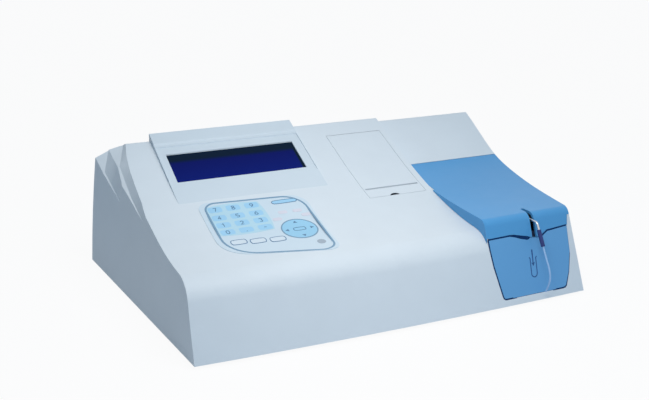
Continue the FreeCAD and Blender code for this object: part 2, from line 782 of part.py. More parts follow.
def make_printer_door():
    y, z = hinge_point(main_top, door_y1)
    lean = (z - height(main_top, door_y0)) / (y - door_y0)
    skin = main_block(0.0).cut(main_block(door_thickness))
    top = height(main_top, door_y0) + 20.0
    low = top - 60.0
    outline = [(door_y0 - 20.0 * lean, top), (door_y0 + 40.0 * lean, low), (door_y1, low), (door_y1, top + 60.0),
               (door_y0 - 20.0 * lean, top + 60.0)]
    door = skin.common(side_prism(outline, door_x0, door_x1))
    door = fused([door] + hinge_bosses(main_top, door_y1, door_ears))
    for pocket in ear_pockets(main_top, door_y1, door_ears):
        door = door.cut(pocket)
    door = door.cut(hinge_bores(main_top, door_y1, door_ears, running))
    middle = (door_x0 + door_x1) / 2.0
    slot = box(middle - slot_width / 2.0, middle + slot_width / 2.0, slot_y - slot_gap / 2.0,
               slot_y + slot_gap / 2.0, 40.0, 140.0)
    thumb_y = door_y0 - thumb_r * 0.45
    thumb = rod(thumb_r, (thumb_x, thumb_y, 40.0), (thumb_x, thumb_y, 140.0))
    return door.cut(slot).cut(thumb)


def make_tear_bar():
    """Serrated steel strip under the slot's front edge."""
    x0, x1 = frame_x()
    skin = main_block(door_thickness).cut(main_block(door_thickness + 0.5))
    edge = slot_y - slot_gap / 2.0
    pitch = 2.0
    count = int((x1 - x0 - 4.0) / pitch)
    ring = [(x0 + 2.0, edge - 3.0), (x0 + 2.0, edge)]
    for i in range(count):
        start = x0 + 2.0 + pitch * i
        ring += [(start + pitch / 2.0, edge + 0.8), (start + pitch, edge)]
    ring.append((ring[-1][0], edge - 3.0))
    return skin.common(plan_prism(ring, 40.0, 140.0))


def make_printer_frame():
    x0, x1 = frame_x()
    y, z = hinge_point(main_top, door_y1)
    rear = y + ear_back
    wrap = roll_r + 0.3
    outer = fused([box(x0, x1, 129.0, rear, 58.5, 130.0),
                   rod(wrap + plate, (x0, roll_y, roll_z), (x1, roll_y, roll_z))])
    outer = outer.common(main_block(door_thickness + door_cover))
    inner = fused([box(x0 + plate, x1 - plate, 129.0 + plate, y - knuckle_r, 60.0, 160.0),
                   rod(wrap, (x0 + plate, roll_y, roll_z), (x1 - plate, roll_y, roll_z))])
    under = main_block(wall).cut(main_block(wall + 2.0))
    tabs = [under.common(box(a, b, c, c + 12.0, 60.0, 130.0))
            for a, b, c in ((x0 - 8.0, x0 + plate, 150.0), (x0 - 8.0, x0 + plate, 205.0),
                            (x1 - plate, x1 + 4.0, 178.0), (x1 - plate, x1 + 4.0, 205.0))]
    walls = outer.cut(inner).cut(swing_room(main_top, door_y1, x0 - 1.0, x1 + 1.0))
    frame = fused([walls] + tabs + hinge_ears(main_top, door_y1, door_ears, z - 12.0))
    frame = frame.cut(hinge_bores(main_top, door_y1, door_ears, 0.0))
    return frame.cut(rod(platen_shaft_r + running, (x0 - 9, platen_y, platen_z),
                         (x1 + 9, platen_y, platen_z)))


def make_paper_roll():
    x0 = (door_x0 + door_x1 - paper_width) / 2.0
    roll = rod(roll_r, (x0, roll_y, roll_z), (x0 + paper_width, roll_y, roll_z))
    return roll.cut(rod(roll_core_r, (x0 - 1, roll_y, roll_z), (x0 + paper_width + 1, roll_y, roll_z)))


def make_platen_roller():
    x0, x1 = frame_x()
    rubber = rod(platen_r, (x0 + plate + 0.8, platen_y, platen_z), (x1 - plate - 0.8, platen_y, platen_z))
    return rubber.fuse(rod(platen_shaft_r, (x0 - 0.5, platen_y, platen_z), (x1 + 0.8, platen_y, platen_z)))


# Base

def make_base_plate():
    inset = wall + fit_gap
    plate_shape = box(-260.0, 260.0, -30.0, rear_y(base_z + sheet, inset), base_z, base_z + sheet)
    plate_shape = plate_shape.common(side_block(inset)).common(front_block(inset))
    holes = [rod(screw_r + 0.2, (x, y, -1.0), (x, y, 3.0)) for x, y in boss_places + [low_boss[:2]]]
    for row in range(2):
        for i in range(10):
            x = -150.0 + 9.0 * i
            y = 160.0 + 34.0 * row
            holes.append(box(x, x + 3.0, y, y + 26.0, -1.0, 3.0))
    return plate_shape.cut(Part.Compound(holes))


def make_foot(x, y):
    foot = Part.makeCone(foot_r - 1.0, foot_r, foot_drop + base_z, Vector(x, y, -foot_drop))
    return foot.makeFillet(0.8, [e for e in foot.Edges if e.BoundBox.ZMax < -foot_drop + 0.1])


def make_housing_screws():
    screws = []
    for x, y in boss_places + [low_boss[:2]]:
        head = rod(3.0, (x, y, base_z - 1.8), (x, y, base_z))
        head = head.makeFillet(0.7, [e for e in head.Edges if e.BoundBox.ZMax < base_z - 1.7])
        drive = box(x - 1.6, x + 1.6, y - 0.4, y + 0.4, base_z - 2.0, base_z - 0.8)
        drive = drive.fuse(box(x - 0.4, x + 0.4, y - 1.6, y + 1.6, base_z - 2.0, base_z - 0.8))
        screws.append(head.cut(drive).fuse(rod(screw_r, (x, y, base_z - 0.2), (x, y, screw_depth - 2.0))))
    return Part.Compound(screws)


# Boards and supply

def make_main_board():
    board = box(-160.0, 0.0, 42.0, 148.0, 10.0, 11.6)
    parts = [box(-140.0, -112.0, 100.0, 128.0, 11.6, 15.0), box(-90.0, -62.0, 96.0, 112.0, 11.6, 15.0),
             box(-90.0, -62.0, 118.0, 134.0, 11.6, 15.0), box(-40.0, -10.0, 60.0, 68.0, 11.6, 21.0)]
    for i in range(4):
        x = -148.0 + 14.0 * i
        parts.append(rod(5.0, (x, 62.0, 11.6), (x, 62.0, 26.0)))
    for i in range(3):
        parts.append(box(-88.0 + 16.0 * i, -78.0 + 16.0 * i, 50.0, 58.0, 11.6, 19.0))
    for x, y in board_places:
        board = board.cut(rod(1.6, (x, y, 9.0), (x, y, 13.0)))
    return fused([board] + parts)


def make_standoffs():
    posts = []
    for x, y in board_places:
        posts.append(rod(3.0, (x, y, base_z + sheet), (x, y, 10.0)).fuse(rod(1.5, (x, y, 9.5), (x, y, 12.6))))
    return Part.Compound(posts)


def make_power_supply():
    case = box(-180.0, -60.0, 152.0, 226.0, base_z + sheet, 42.0)
    case = case.makeFillet(1.5, [e for e in case.Edges if e.BoundBox.ZLength > 30.0])
    slots = []
    for i in range(12):
        x = -168.0 + 8.4 * i
        slots.append(box(x, x + 3.6, 166.0, 212.0, 38.0, 43.0))
    return case.cut(Part.Compound(slots))


# Rear panel, built flat: X across, Y out of the wall from its inner face, Z up along it

def on_rear(shape):
    shape.rotate(Vector(0, 0, 0), Vector(1, 0, 0), rear_lean)
    shape.translate(Vector(0, rear_y(0.0, wall), 0))
    return shape


def make_rear_panel():
    panel = box(panel_x0, panel_x1, -panel_sheet, 0.0, rear_panel_z0, rear_panel_z1)
    half = inlet_width / 2.0 - 1.0
    holes = [box(inlet_x - half, inlet_x + half, -5, 5, inlet_low + 2.0, inlet_high - 2.0),
             box(switch_x - 9.6, switch_x + 9.6, -5, 5, switch_z - 14.6, switch_z + 14.6),
             box(serial_x - 9.5, serial_x + 9.5, -5, 5, serial_z - 5.5, serial_z + 5.5),
             rod(4.2, (waste_x, -5, waste_z), (waste_x, 5, waste_z))]
    pitch = 5.2
    for i in range(-4, 5):
        high = pitch * i
        reach = math.sqrt((fan_hole_r - 1.5) ** 2 - high ** 2)
        for side in (-1, 1):
            ends = sorted((side * 1.6, side * reach))
            holes.append(box(fan_x + ends[0], fan_x + ends[1], -5, 5, fan_z + high - 1.3, fan_z + high + 1.3))
    return on_rear(panel.cut(Part.Compound(holes)))


def make_mains_inlet():
    half = inlet_width / 2.0
    flange = box(inlet_x - half, inlet_x + half, 0.0, 2.5, inlet_low, inlet_high)
    flange = flange.makeFillet(2.5, [e for e in flange.Edges if e.BoundBox.YLength > 2.0])
    body = box(inlet_x - half + 1.2, inlet_x + half - 1.2, -24.0, 0.5, inlet_low + 2.2, inlet_high - 2.2)
    cavity = face_prism([(inlet_x - 12.0, 47.5), (inlet_x + 12.0, 47.5), (inlet_x + 12.0, 60.0),
                         (inlet_x + 7.5, 64.5), (inlet_x - 7.5, 64.5), (inlet_x - 12.0, 60.0)], -15.0, 5.0)
    drawer = box(inlet_x - 9.3, inlet_x + 9.3, -19.5, 5.0, 27.7, 40.3)
    pins = []
    for x, z in ((-7.0, 54.0), (0.0, 59.0), (7.0, 54.0)):
        pins.append(box(inlet_x + x - 1.0, inlet_x + x + 1.0, -16.0, -1.0, z - 2.0, z + 2.0))
    return on_rear(fused([flange.fuse(body).cut(cavity).cut(drawer)] + pins))


def make_fuse_drawer():
    tray = box(inlet_x - 9.0, inlet_x + 9.0, -19.0, 3.0, 28.0, 40.0)
    tray = tray.cut(box(inlet_x - 7.6, inlet_x + 7.6, -17.5, 0.0, 30.0, 41.0))
    face = box(inlet_x - 11.0, inlet_x + 11.0, 2.8, 4.6, 26.0, 42.0)
    face = face.makeFillet(0.8, [e for e in face.Edges if e.BoundBox.YLength > 1.5])
    pull = box(inlet_x - 4.0, inlet_x + 4.0, 3.8, 5.0, 33.0, 35.0)
    return on_rear(fused([tray, face]).cut(pull))


def make_power_switch():
    flange = box(switch_x - 11.0, switch_x + 11.0, 0.0, 2.0, switch_z - 16.0, switch_z + 16.0)
    flange = flange.makeFillet(1.5, [e for e in flange.Edges if e.BoundBox.YLength > 1.5])
    body = box(switch_x - 9.4, switch_x + 9.4, -16.0, 0.5, switch_z - 14.4, switch_z + 14.4)
    half = rocker_width / 2.0 + fit_gap
    room = box(switch_x - half, switch_x + half, -10.5, 3.0, switch_z - 12.8, switch_z + 12.8)
    axle = rod(1.2 + running, (switch_x - half - 1.5, -rocker_sink, switch_z),
               (switch_x + half + 1.5, -rocker_sink, switch_z))
    return on_rear(flange.fuse(body).cut(room).cut(axle))


def make_switch_rocker():
    half = rocker_width / 2.0
    ring = [(1.6, 0.0), (3.0, rocker_half), (-1.5, rocker_half - 0.6), (-3.5, 0.0), (-1.5, 0.6 - rocker_half),
            (3.0, -rocker_half)]
    shape = side_prism(ring, -half, half).fuse(rod(1.2, (-half - 1.2, 0, 0), (half + 1.2, 0, 0)))
    shape.rotate(Vector(0, 0, 0), Vector(1, 0, 0), -rocker_tilt)
    shape.translate(Vector(switch_x, -rocker_sink, switch_z))
    return on_rear(shape)


def make_serial_connector():
    flange = box(serial_x - 15.5, serial_x + 15.5, 0.0, 0.8, serial_z - 6.2, serial_z + 6.2)
    shell = face_prism([(serial_x - 8.6, serial_z - 4.3), (serial_x + 8.6, serial_z - 4.3),
                        (serial_x + 9.2, serial_z + 4.3), (serial_x - 9.2, serial_z + 4.3)], -10.0, 6.0)
    shape = flange.fuse(shell)
    for row, count in ((1.4, 5), (-1.4, 4)):
        for i in range(count):
            x = serial_x + 2.77 * (i - (count - 1) / 2.0)
            shape = shape.cut(rod(0.5, (x, 0.0, serial_z + row), (x, 7.0, serial_z + row)))
    nuts = []
    for side in (-12.5, 12.5):
        ring = [(serial_x + side + 2.4 * math.cos(math.radians(60.0 * k)),
                 serial_z + 2.4 * math.sin(math.radians(60.0 * k))) for k in range(6)]
        nuts.append(face_prism(ring, 0.5, 5.5).cut(rod(1.2, (serial_x + side, 2.0, serial_z),
                                                       (serial_x + side, 6.0, serial_z))))
    return on_rear(fused([shape] + nuts))


def make_waste_fitting():
    profile = [(1.6, -8.0), (4.0, -8.0), (4.0, 0.0), (7.0, 0.0), (7.0, 2.0), (2.9, 2.0), (2.9, 6.0), (3.7, 6.6),
               (2.7, 10.0), (3.6, 10.5), (2.6, 14.0), (3.5, 14.5), (2.4, 18.0), (1.6, 18.0)]
    ring = [Vector(r, n, 0) for r, n in profile]
    shape = Part.Face(Part.makePolygon(ring + ring[:1])).revolve(Vector(0, 0, 0), Vector(0, 1, 0), 360.0)
    shape.translate(Vector(waste_x, 0, waste_z))
    return on_rear(shape)


def make_fan_frame():
    half = fan_size / 2.0
    back = -panel_sheet
    low = back - fan_depth
    frame = box(fan_x - half, fan_x + half, low, back, fan_z - half, fan_z + half)
    frame = frame.makeFillet(4.0, [e for e in frame.Edges if e.BoundBox.YLength > 5.0])
    frame = frame.cut(rod(fan_hole_r, (fan_x, low - 1, fan_z), (fan_x, back + 1, fan_z)))
    for x in (-25.0, 25.0):
        for z in (-25.0, 25.0):
            frame = frame.cut(rod(2.1, (fan_x + x, low - 1, fan_z + z), (fan_x + x, back + 1, fan_z + z)))
    hub = [rod(fan_hub_r, (fan_x, low, fan_z), (fan_x, low + 3.0, fan_z))]
    for k in range(4):
        strut = box(fan_hub_r - 1.0, fan_hole_r + 1.0, low, low + 2.4, -1.2, 1.2)
        strut.rotate(Vector(0, 0, 0), Vector(0, 1, 0), 45.0 + 90.0 * k)
        strut.translate(Vector(fan_x, 0, fan_z))
        hub.append(strut)
    bore = rod(1.5 + running, (fan_x, low - 1, fan_z), (fan_x, low + 5.0, fan_z))
    return on_rear(fused([frame] + hub).cut(bore))


def make_fan_rotor():
    low = -panel_sheet - fan_depth
    hub = rod(fan_hub_r, (0, low + 3.5, 0), (0, -panel_sheet - 1.5, 0))
    blades = []
    for k in range(fan_blades):
        blade = box(fan_hub_r - 1.0, fan_hole_r - 1.2, -5.2, 5.2, -0.7, 0.7)
        blade.rotate(Vector(0, 0, 0), Vector(1, 0, 0), 42.0)
        blade.translate(Vector(0, low + 8.6, 0))
        blade.rotate(Vector(0, 0, 0), Vector(0, 1, 0), 360.0 / fan_blades * k)
        blades.append(blade)
    shaft = rod(1.5, (0, low + 0.4, 0), (0, low + 5.0, 0))
    rotor = fused([hub, shaft] + blades)
    rotor.translate(Vector(fan_x, 0, fan_z))
    return on_rear(rotor)


def make_pieces():
    pieces = {
        "housing": make_housing(),
        "display_bezel": make_display_bezel(),
        "display_window": make_display_window(),
        "lcd_module": make_lcd_module(),
        "display_board": make_display_board(),
        "keypad_overlay": make_keypad_overlay(),
        "compartment_lid": make_lid(),
        "lid_hinge_pins": make_hinge_pins(right_top, lid_rear_y, lid_ears),
        "front_panel": make_front_panel(),
        "compartment_tray": make_tray(),
        "sipper_grommet": make_sipper_grommet(),
        "sipper_pipe": make_sipper_pipe(),
        "sipper_sleeve": make_sipper_sleeve(),
        "sipper_tube": make_sipper_tube(),
        "printer_door": make_printer_door(),
        "door_hinge_pins": make_hinge_pins(main_top, door_y1, door_ears),
        "tear_bar": make_tear_bar(),
        "printer_frame": make_printer_frame(),
        "paper_roll": make_paper_roll(),
        "platen_roller": make_platen_roller(),
        "base_plate": make_base_plate(),
        "housing_screws": make_housing_screws(),
        "main_board": make_main_board(),
        "standoffs": make_standoffs(),
        "power_supply": make_power_supply(),
        "rear_panel": make_rear_panel(),
        "mains_inlet": make_mains_inlet(),
        "fuse_drawer": make_fuse_drawer(),
        "power_switch": make_power_switch(),
        "switch_rocker": make_switch_rocker(),
        "serial_connector": make_serial_connector(),
        "waste_fitting": make_waste_fitting(),
        "fan_frame": make_fan_frame(),
        "fan_rotor": make_fan_rotor(),
    }
    for i, (x, y) in enumerate(foot_places):
        pieces["foot_%d" % (i + 1)] = make_foot(x, y)
    return pieces


def main():
    """Write every piece with the origin at the centre of the footprint, on the surface the part stands on."""
    pieces = make_pieces()
    held = Part.Compound([shape for name, shape in pieces.items() if name != "sipper_tube"])
    room = held.optimalBoundingBox()
    shift = Vector(0, -(room.YMin + room.YMax) / 2.0, -room.ZMin)
    print("origin shift y %.3f z %.3f" % (shift.y, shift.z))
    os.makedirs("parts", exist_ok=True)
    for name, shape in pieces.items():
        if shape.ShapeType == "Compound" and len(shape.Solids) == 1:
            shape = shape.Solids[0]
        shape = shape.copy()
        shape.translate(shift)
        print(name, "solids", len(shape.Solids), "valid", shape.isValid(), "volume %.0f" % shape.Volume)
        shape.exportStep("parts/%s.step" % name)
    for name, points, rear in (("lid", right_top, lid_rear_y), ("door", main_top, door_y1)):
        y, z = hinge_point(points, rear)
        print(name, "hinge at y %.3f z %.3f" % (y + shift.y, z + shift.z))
    for name, x, out, up in (("fan", fan_x, 0.0, fan_z), ("rocker", switch_x, -rocker_sink, switch_z)):
        place = on_rear(Part.Vertex(Vector(x, out, up))).Point + shift
        print(name, "axis at %.3f %.3f %.3f" % tuple(place))


main()
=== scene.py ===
import bpy
import bmesh
import json
import math
import numpy as np
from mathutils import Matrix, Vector
from mathutils.bvhtree import BVHTree

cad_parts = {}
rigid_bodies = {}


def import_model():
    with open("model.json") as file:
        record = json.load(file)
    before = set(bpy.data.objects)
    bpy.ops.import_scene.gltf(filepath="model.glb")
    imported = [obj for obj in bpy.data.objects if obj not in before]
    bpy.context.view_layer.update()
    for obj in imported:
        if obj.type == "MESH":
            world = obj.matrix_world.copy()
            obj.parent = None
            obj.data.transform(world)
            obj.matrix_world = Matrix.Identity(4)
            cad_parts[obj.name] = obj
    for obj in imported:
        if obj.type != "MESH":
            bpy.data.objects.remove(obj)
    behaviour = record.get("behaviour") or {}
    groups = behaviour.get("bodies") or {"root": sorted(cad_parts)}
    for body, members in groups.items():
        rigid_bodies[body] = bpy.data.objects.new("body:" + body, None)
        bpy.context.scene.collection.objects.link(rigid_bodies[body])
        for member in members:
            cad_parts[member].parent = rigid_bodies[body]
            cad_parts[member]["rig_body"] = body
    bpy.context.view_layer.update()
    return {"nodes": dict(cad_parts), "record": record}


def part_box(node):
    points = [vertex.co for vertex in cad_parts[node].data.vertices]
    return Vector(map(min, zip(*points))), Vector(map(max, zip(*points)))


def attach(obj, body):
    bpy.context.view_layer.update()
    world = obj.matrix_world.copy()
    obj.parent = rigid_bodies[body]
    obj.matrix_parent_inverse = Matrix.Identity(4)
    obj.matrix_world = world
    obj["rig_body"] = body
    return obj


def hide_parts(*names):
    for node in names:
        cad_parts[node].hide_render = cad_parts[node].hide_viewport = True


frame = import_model()
nodes = frame["nodes"]
print("frame loaded:", len(nodes), "nodes")

mm = 0.001
frontBow = 4.0                                        # mm by which the housing's front edge swells
frontLean = math.radians(22.5)                        # lean of the front face from upright
frontRadius = 4562.0                                  # mm, plan radius of that swell
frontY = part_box("housing")[0].y + frontBow * mm       # front corners of the housing
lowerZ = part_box("housing")[0].z                       # lower edge of the housing


# Points in mm from the front corners and the lower edge, as metres in the frame
def place(x, y, z):
    return np.stack([x * mm, y * mm + frontY, z * mm + lowerZ], axis=-1)


# Display colour 0 to 255 as scene-linear: the sRGB curve, per channel
def linear(red, green, blue):
    value = np.array([red, green, blue]) / 255.0
    line = np.where(value <= 0.04045, value / 12.92, ((value + 0.055) / 1.055) ** 2.4)
    return tuple(line.tolist()) + (1.0,)


# Camera

cameraView = {
    "position": (-377.5, -681.3, 368.7),    # mm from the front corners and the lower edge
    "azimuth": -23.756,
    "elevation": 18.096,
    "lens": 54.08,
    "sensor": 36.0,
    "near": 0.05,                           # metres
    "far": 30.0,
}


# Camera that looks along the azimuth from +Y and down by the elevation
def makeCamera():
    camera = bpy.data.cameras.new("camera")
    camera.lens = cameraView["lens"]
    camera.sensor_width = cameraView["sensor"]
    camera.clip_start = cameraView["near"]
    camera.clip_end = cameraView["far"]
    holder = bpy.data.objects.new("camera", camera)
    bpy.context.scene.collection.objects.link(holder)
    holder.location = place(*np.array(cameraView["position"])).tolist()
    azimuth = math.radians(cameraView["azimuth"])
    elevation = math.radians(cameraView["elevation"])
    heading = Vector((-math.sin(azimuth) * math.cos(elevation), math.cos(azimuth) * math.cos(elevation),
                      -math.sin(elevation)))
    holder.rotation_euler = heading.to_track_quat("-Z", "Y").to_euler()
    bpy.context.scene.camera = holder


makeCamera()
print("camera placed")


# Materials: sizes of noise features in metres

surfaceNoise = {
    "detail": 3.0,                          # octaves of the mottling and of the sheen
    "tones": (0.3, 0.7),                    # noise that gives the darkest and the lightest tone
    "grainDetail": 4.0,
    "grainRoughness": 0.6,
    "grainStrength": 0.4,
}


def newMaterial(name):
    material = bpy.data.materials.new(name)
    material.use_nodes = True
    tree = material.node_tree
    return material, tree, tree.nodes["Principled BSDF"]


# Noise on object coordinates with features of about size metres
def objectNoise(tree, size, detail, roughness=0.5):
    coords = tree.nodes.new("ShaderNodeTexCoord")
    noise = tree.nodes.new("ShaderNodeTexNoise")
    noise.inputs["Scale"].default_value = 1.0 / size
    noise.inputs["Detail"].default_value = detail
    noise.inputs["Roughness"].default_value = roughness
    tree.links.new(coords.outputs["Object"], noise.inputs["Vector"])
    return noise


# Base colour that wanders by amount round the given one over patches of about size
def addMottling(tree, shader, colour, amount, size):
    noise = objectNoise(tree, size, surfaceNoise["detail"])
    ramp = tree.nodes.new("ShaderNodeValToRGB")
    ramp.color_ramp.elements[0].position = surfaceNoise["tones"][0]
    ramp.color_ramp.elements[1].position = surfaceNoise["tones"][1]
    low = [max(c * (1.0 - amount), 0.0) for c in colour[:3]]
    high = [min(c * (1.0 + amount), 1.0) for c in colour[:3]]
    ramp.color_ramp.elements[0].color = (*low, 1.0)
    ramp.color_ramp.elements[1].color = (*high, 1.0)
    tree.links.new(noise.outputs["Fac"], ramp.inputs["Fac"])
    tree.links.new(ramp.outputs["Color"], shader.inputs["Base Color"])


# Roughness that wanders between low and high over patches of about size
def addRoughness(tree, shader, low, high, size):
    noise = objectNoise(tree, size, surfaceNoise["detail"])
    span = tree.nodes.new("ShaderNodeMapRange")
    span.inputs["To Min"].default_value = low
    span.inputs["To Max"].default_value = high
    tree.links.new(noise.outputs["Fac"], span.inputs["Value"])
    tree.links.new(span.outputs["Result"], shader.inputs["Roughness"])


# Bumps about size wide and depth high
def addGrain(tree, shader, size, depth):
    noise = objectNoise(tree, size, surfaceNoise["grainDetail"], surfaceNoise["grainRoughness"])
    bump = tree.nodes.new("ShaderNodeBump")
    bump.inputs["Strength"].default_value = surfaceNoise["grainStrength"]
    bump.inputs["Distance"].default_value = depth
    tree.links.new(noise.outputs["Fac"], bump.inputs["Height"])
    tree.links.new(bump.outputs["Normal"], shader.inputs["Normal"])


plastic = {
    "patch": 0.03,                          # uneven patches of colour
    "sheenSpread": 0.05,                    # roughness to both sides of its mean
    "sheenPatch": 0.012,
    "ior": 1.5,
}


# Spark-eroded moulded plastic: fine grain, slight unevenness of colour and sheen
def mouldedPlastic(name, colour, roughness=0.42, grain=0.0006, depth=0.00003, mottling=0.012, specular=0.4):
    material, tree, shader = newMaterial(name)
    addMottling(tree, shader, colour, mottling, plastic["patch"])
    spread = plastic["sheenSpread"]
    addRoughness(tree, shader, roughness - spread, roughness + spread, plastic["sheenPatch"])
    addGrain(tree, shader, grain, depth)
    shader.inputs["IOR"].default_value = plastic["ior"]
    shader.inputs["Specular IOR Level"].default_value = specular
    return material


drawnMetal = {
    "colour": linear(196, 200, 205),
    "roughness": 0.3,
    "roughnessSpread": 0.2,                 # as a share of the roughness
    "roughnessPatch": 0.004,
    "grain": (0.0004, 0.02, 0.0004),        # length of a scratch along each axis
    "bumpStrength": 0.3,
    "bumpDepth": 0.00001,
    "mottling": 0.05,
    "patch": 0.01,
}


# Brushed or drawn metal: noise stretched along one axis
def metal(name):
    row = drawnMetal
    material, tree, shader = newMaterial(name)
    shader.inputs["Metallic"].default_value = 1.0
    coords = tree.nodes.new("ShaderNodeTexCoord")
    stretch = tree.nodes.new("ShaderNodeMapping")
    stretch.inputs["Scale"].default_value = [1.0 / g for g in row["grain"]]
    noise = tree.nodes.new("ShaderNodeTexNoise")
    noise.inputs["Scale"].default_value = 1.0
    tree.links.new(coords.outputs["Object"], stretch.inputs["Vector"])
    tree.links.new(stretch.outputs["Vector"], noise.inputs["Vector"])
    bump = tree.nodes.new("ShaderNodeBump")
    bump.inputs["Strength"].default_value = row["bumpStrength"]
    bump.inputs["Distance"].default_value = row["bumpDepth"]
    tree.links.new(noise.outputs["Fac"], bump.inputs["Height"])
    tree.links.new(bump.outputs["Normal"], shader.inputs["Normal"])
    addMottling(tree, shader, row["colour"], row["mottling"], row["patch"])
    low, high = [row["roughness"] * (1.0 + side * row["roughnessSpread"]) for side in (-1.0, 1.0)]
    addRoughness(tree, shader, low, high, row["roughnessPatch"])
    return material


softRubber = {
    "mottling": 0.15,
    "patch": 0.004,
    "roughness": (0.6, 0.8),
    "roughnessPatch": 0.003,
    "grain": 0.0005,
    "grainDepth": 0.00004,
}


# Dull rubber or silicone
def rubber(name, colour, specular=0.3):
    row = softRubber
    material, tree, shader = newMaterial(name)
    shader.inputs["Specular IOR Level"].default_value = specular
    addMottling(tree, shader, colour, row["mottling"], row["patch"])
    addRoughness(tree, shader, *row["roughness"], row["roughnessPatch"])
    addGrain(tree, shader, row["grain"], row["grainDepth"])
    return material


board = {
    "blocks": 90.0,                         # blocks of tracks to the metre
    "track": 0.03,                          # width of a track as a share of a block
    "mask": (linear(20, 92, 60), linear(24, 104, 66)),
    "copper": linear(70, 140, 90),
    "roughness": 0.35,
}


# Green solder mask with copper tracks under it: a fine grid of lines broken up in blocks
def circuitBoard(name):
    material, tree, shader = newMaterial(name)
    coords = tree.nodes.new("ShaderNodeTexCoord")
    brick = tree.nodes.new("ShaderNodeTexBrick")
    brick.inputs["Scale"].default_value = board["blocks"]
    brick.inputs["Mortar Size"].default_value = board["track"]
    brick.inputs["Color1"].default_value = board["mask"][0]
    brick.inputs["Color2"].default_value = board["mask"][1]
    brick.inputs["Mortar"].default_value = board["copper"]
    tree.links.new(coords.outputs["Object"], brick.inputs["Vector"])
    tree.links.new(brick.outputs["Color"], shader.inputs["Base Color"])
    shader.inputs["Roughness"].default_value = board["roughness"]
    return material


displayGlass = {
    "front": linear(12, 30, 114),           # colour along the front edge
    "middle": linear(9, 22, 98),
    # rear: painted shadow of the bezel's hood, also used for the right border
    "rear": linear(9, 30, 50),
    "bands": (0.66, 0.76),                  # where the blue ends and the dark rear band of painted hood shadow starts
    "mask": 0.965,                          # share of the width where the dark right border of painted bezel shadow starts
    "dots": 240.0,                          # dots across the width
    "gap": linear(8, 16, 60),
    "gapShare": 0.12,
    "gapStrength": 0.25,
    "roughness": 0.3,
    "specular": 0.02,
}


# Thin lines across one axis: fraction of the coordinate over the pitch, below the gap's share
def dotLines(tree, split, axis, pitch):
    scaled = tree.nodes.new("ShaderNodeMath")
    scaled.operation = "DIVIDE"
    scaled.inputs[1].default_value = pitch
    part = tree.nodes.new("ShaderNodeMath")
    part.operation = "FRACT"
    line = tree.nodes.new("ShaderNodeMath")
    line.operation = "LESS_THAN"
    line.inputs[1].default_value = displayGlass["gapShare"]
    tree.links.new(split.outputs[axis], scaled.inputs[0])
    tree.links.new(scaled.outputs[0], part.inputs[0])
    tree.links.new(part.outputs[0], line.inputs[0])
    return line


# Dark blue graphic display with a faint dot grid: darker towards its rear edge and along its right edge,
# painted shadow of the bezel's hood and rim
def liquidCrystal(name):
    material, tree, shader = newMaterial(name)
    low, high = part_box("display_window")
    coords = tree.nodes.new("ShaderNodeTexCoord")
    split = tree.nodes.new("ShaderNodeSeparateXYZ")
    tree.links.new(coords.outputs["Object"], split.inputs["Vector"])
    span = tree.nodes.new("ShaderNodeMapRange")
    span.inputs["From Min"].default_value = low.y
    span.inputs["From Max"].default_value = high.y
    tree.links.new(split.outputs["Y"], span.inputs["Value"])
    ramp = tree.nodes.new("ShaderNodeValToRGB")
    ramp.color_ramp.elements[0].color = displayGlass["front"]
    ramp.color_ramp.elements[1].color = displayGlass["rear"]
    middle = ramp.color_ramp.elements.new(displayGlass["bands"][0])
    middle.color = displayGlass["middle"]
    upper = ramp.color_ramp.elements.new(displayGlass["bands"][1])
    upper.color = displayGlass["rear"]
    tree.links.new(span.outputs["Result"], ramp.inputs["Fac"])
    pitch = (high.x - low.x) / displayGlass["dots"]
    either = tree.nodes.new("ShaderNodeMath")
    either.operation = "MAXIMUM"
    for slot, axis in enumerate(("X", "Y")):
        tree.links.new(dotLines(tree, split, axis, pitch).outputs[0], either.inputs[slot])
    weaker = tree.nodes.new("ShaderNodeMath")
    weaker.operation = "MULTIPLY"
    weaker.inputs[1].default_value = displayGlass["gapStrength"]
    tree.links.new(either.outputs[0], weaker.inputs[0])
    mix = tree.nodes.new("ShaderNodeMixRGB")
    mix.inputs["Color2"].default_value = displayGlass["gap"]
    tree.links.new(weaker.outputs[0], mix.inputs["Fac"])
    tree.links.new(ramp.outputs["Color"], mix.inputs["Color1"])
    # dark right border of painted bezel shadow, in the rear colour
    border = tree.nodes.new("ShaderNodeMath")
    border.operation = "GREATER_THAN"
    border.inputs[1].default_value = low.x + (high.x - low.x) * displayGlass["mask"]
    bezelShadowed = tree.nodes.new("ShaderNodeMixRGB")
    bezelShadowed.inputs["Color2"].default_value = displayGlass["rear"]
    tree.links.new(split.outputs["X"], border.inputs[0])
    tree.links.new(border.outputs[0], bezelShadowed.inputs["Fac"])
    tree.links.new(mix.outputs["Color"], bezelShadowed.inputs["Color1"])
    tree.links.new(bezelShadowed.outputs["Color"], shader.inputs["Base Color"])
    shader.inputs["Roughness"].default_value = displayGlass["roughness"]
    shader.inputs["Specular IOR Level"].default_value = displayGlass["specular"]
    return material


tubeWall = {
    "colour": linear(168, 206, 246),
    "mottling": 0.03,
    "patch": 0.004,
    "roughness": 0.25,
    "transmission": 0.12,
    "ior": 1.35,
}


# Milky translucent tube wall
def clearTube(name):
    material, tree, shader = newMaterial(name)
    addMottling(tree, shader, tubeWall["colour"], tubeWall["mottling"], tubeWall["patch"])
    shader.inputs["Roughness"].default_value = tubeWall["roughness"]
    shader.inputs["Transmission Weight"].default_value = tubeWall["transmission"]
    shader.inputs["IOR"].default_value = tubeWall["ior"]
    return material


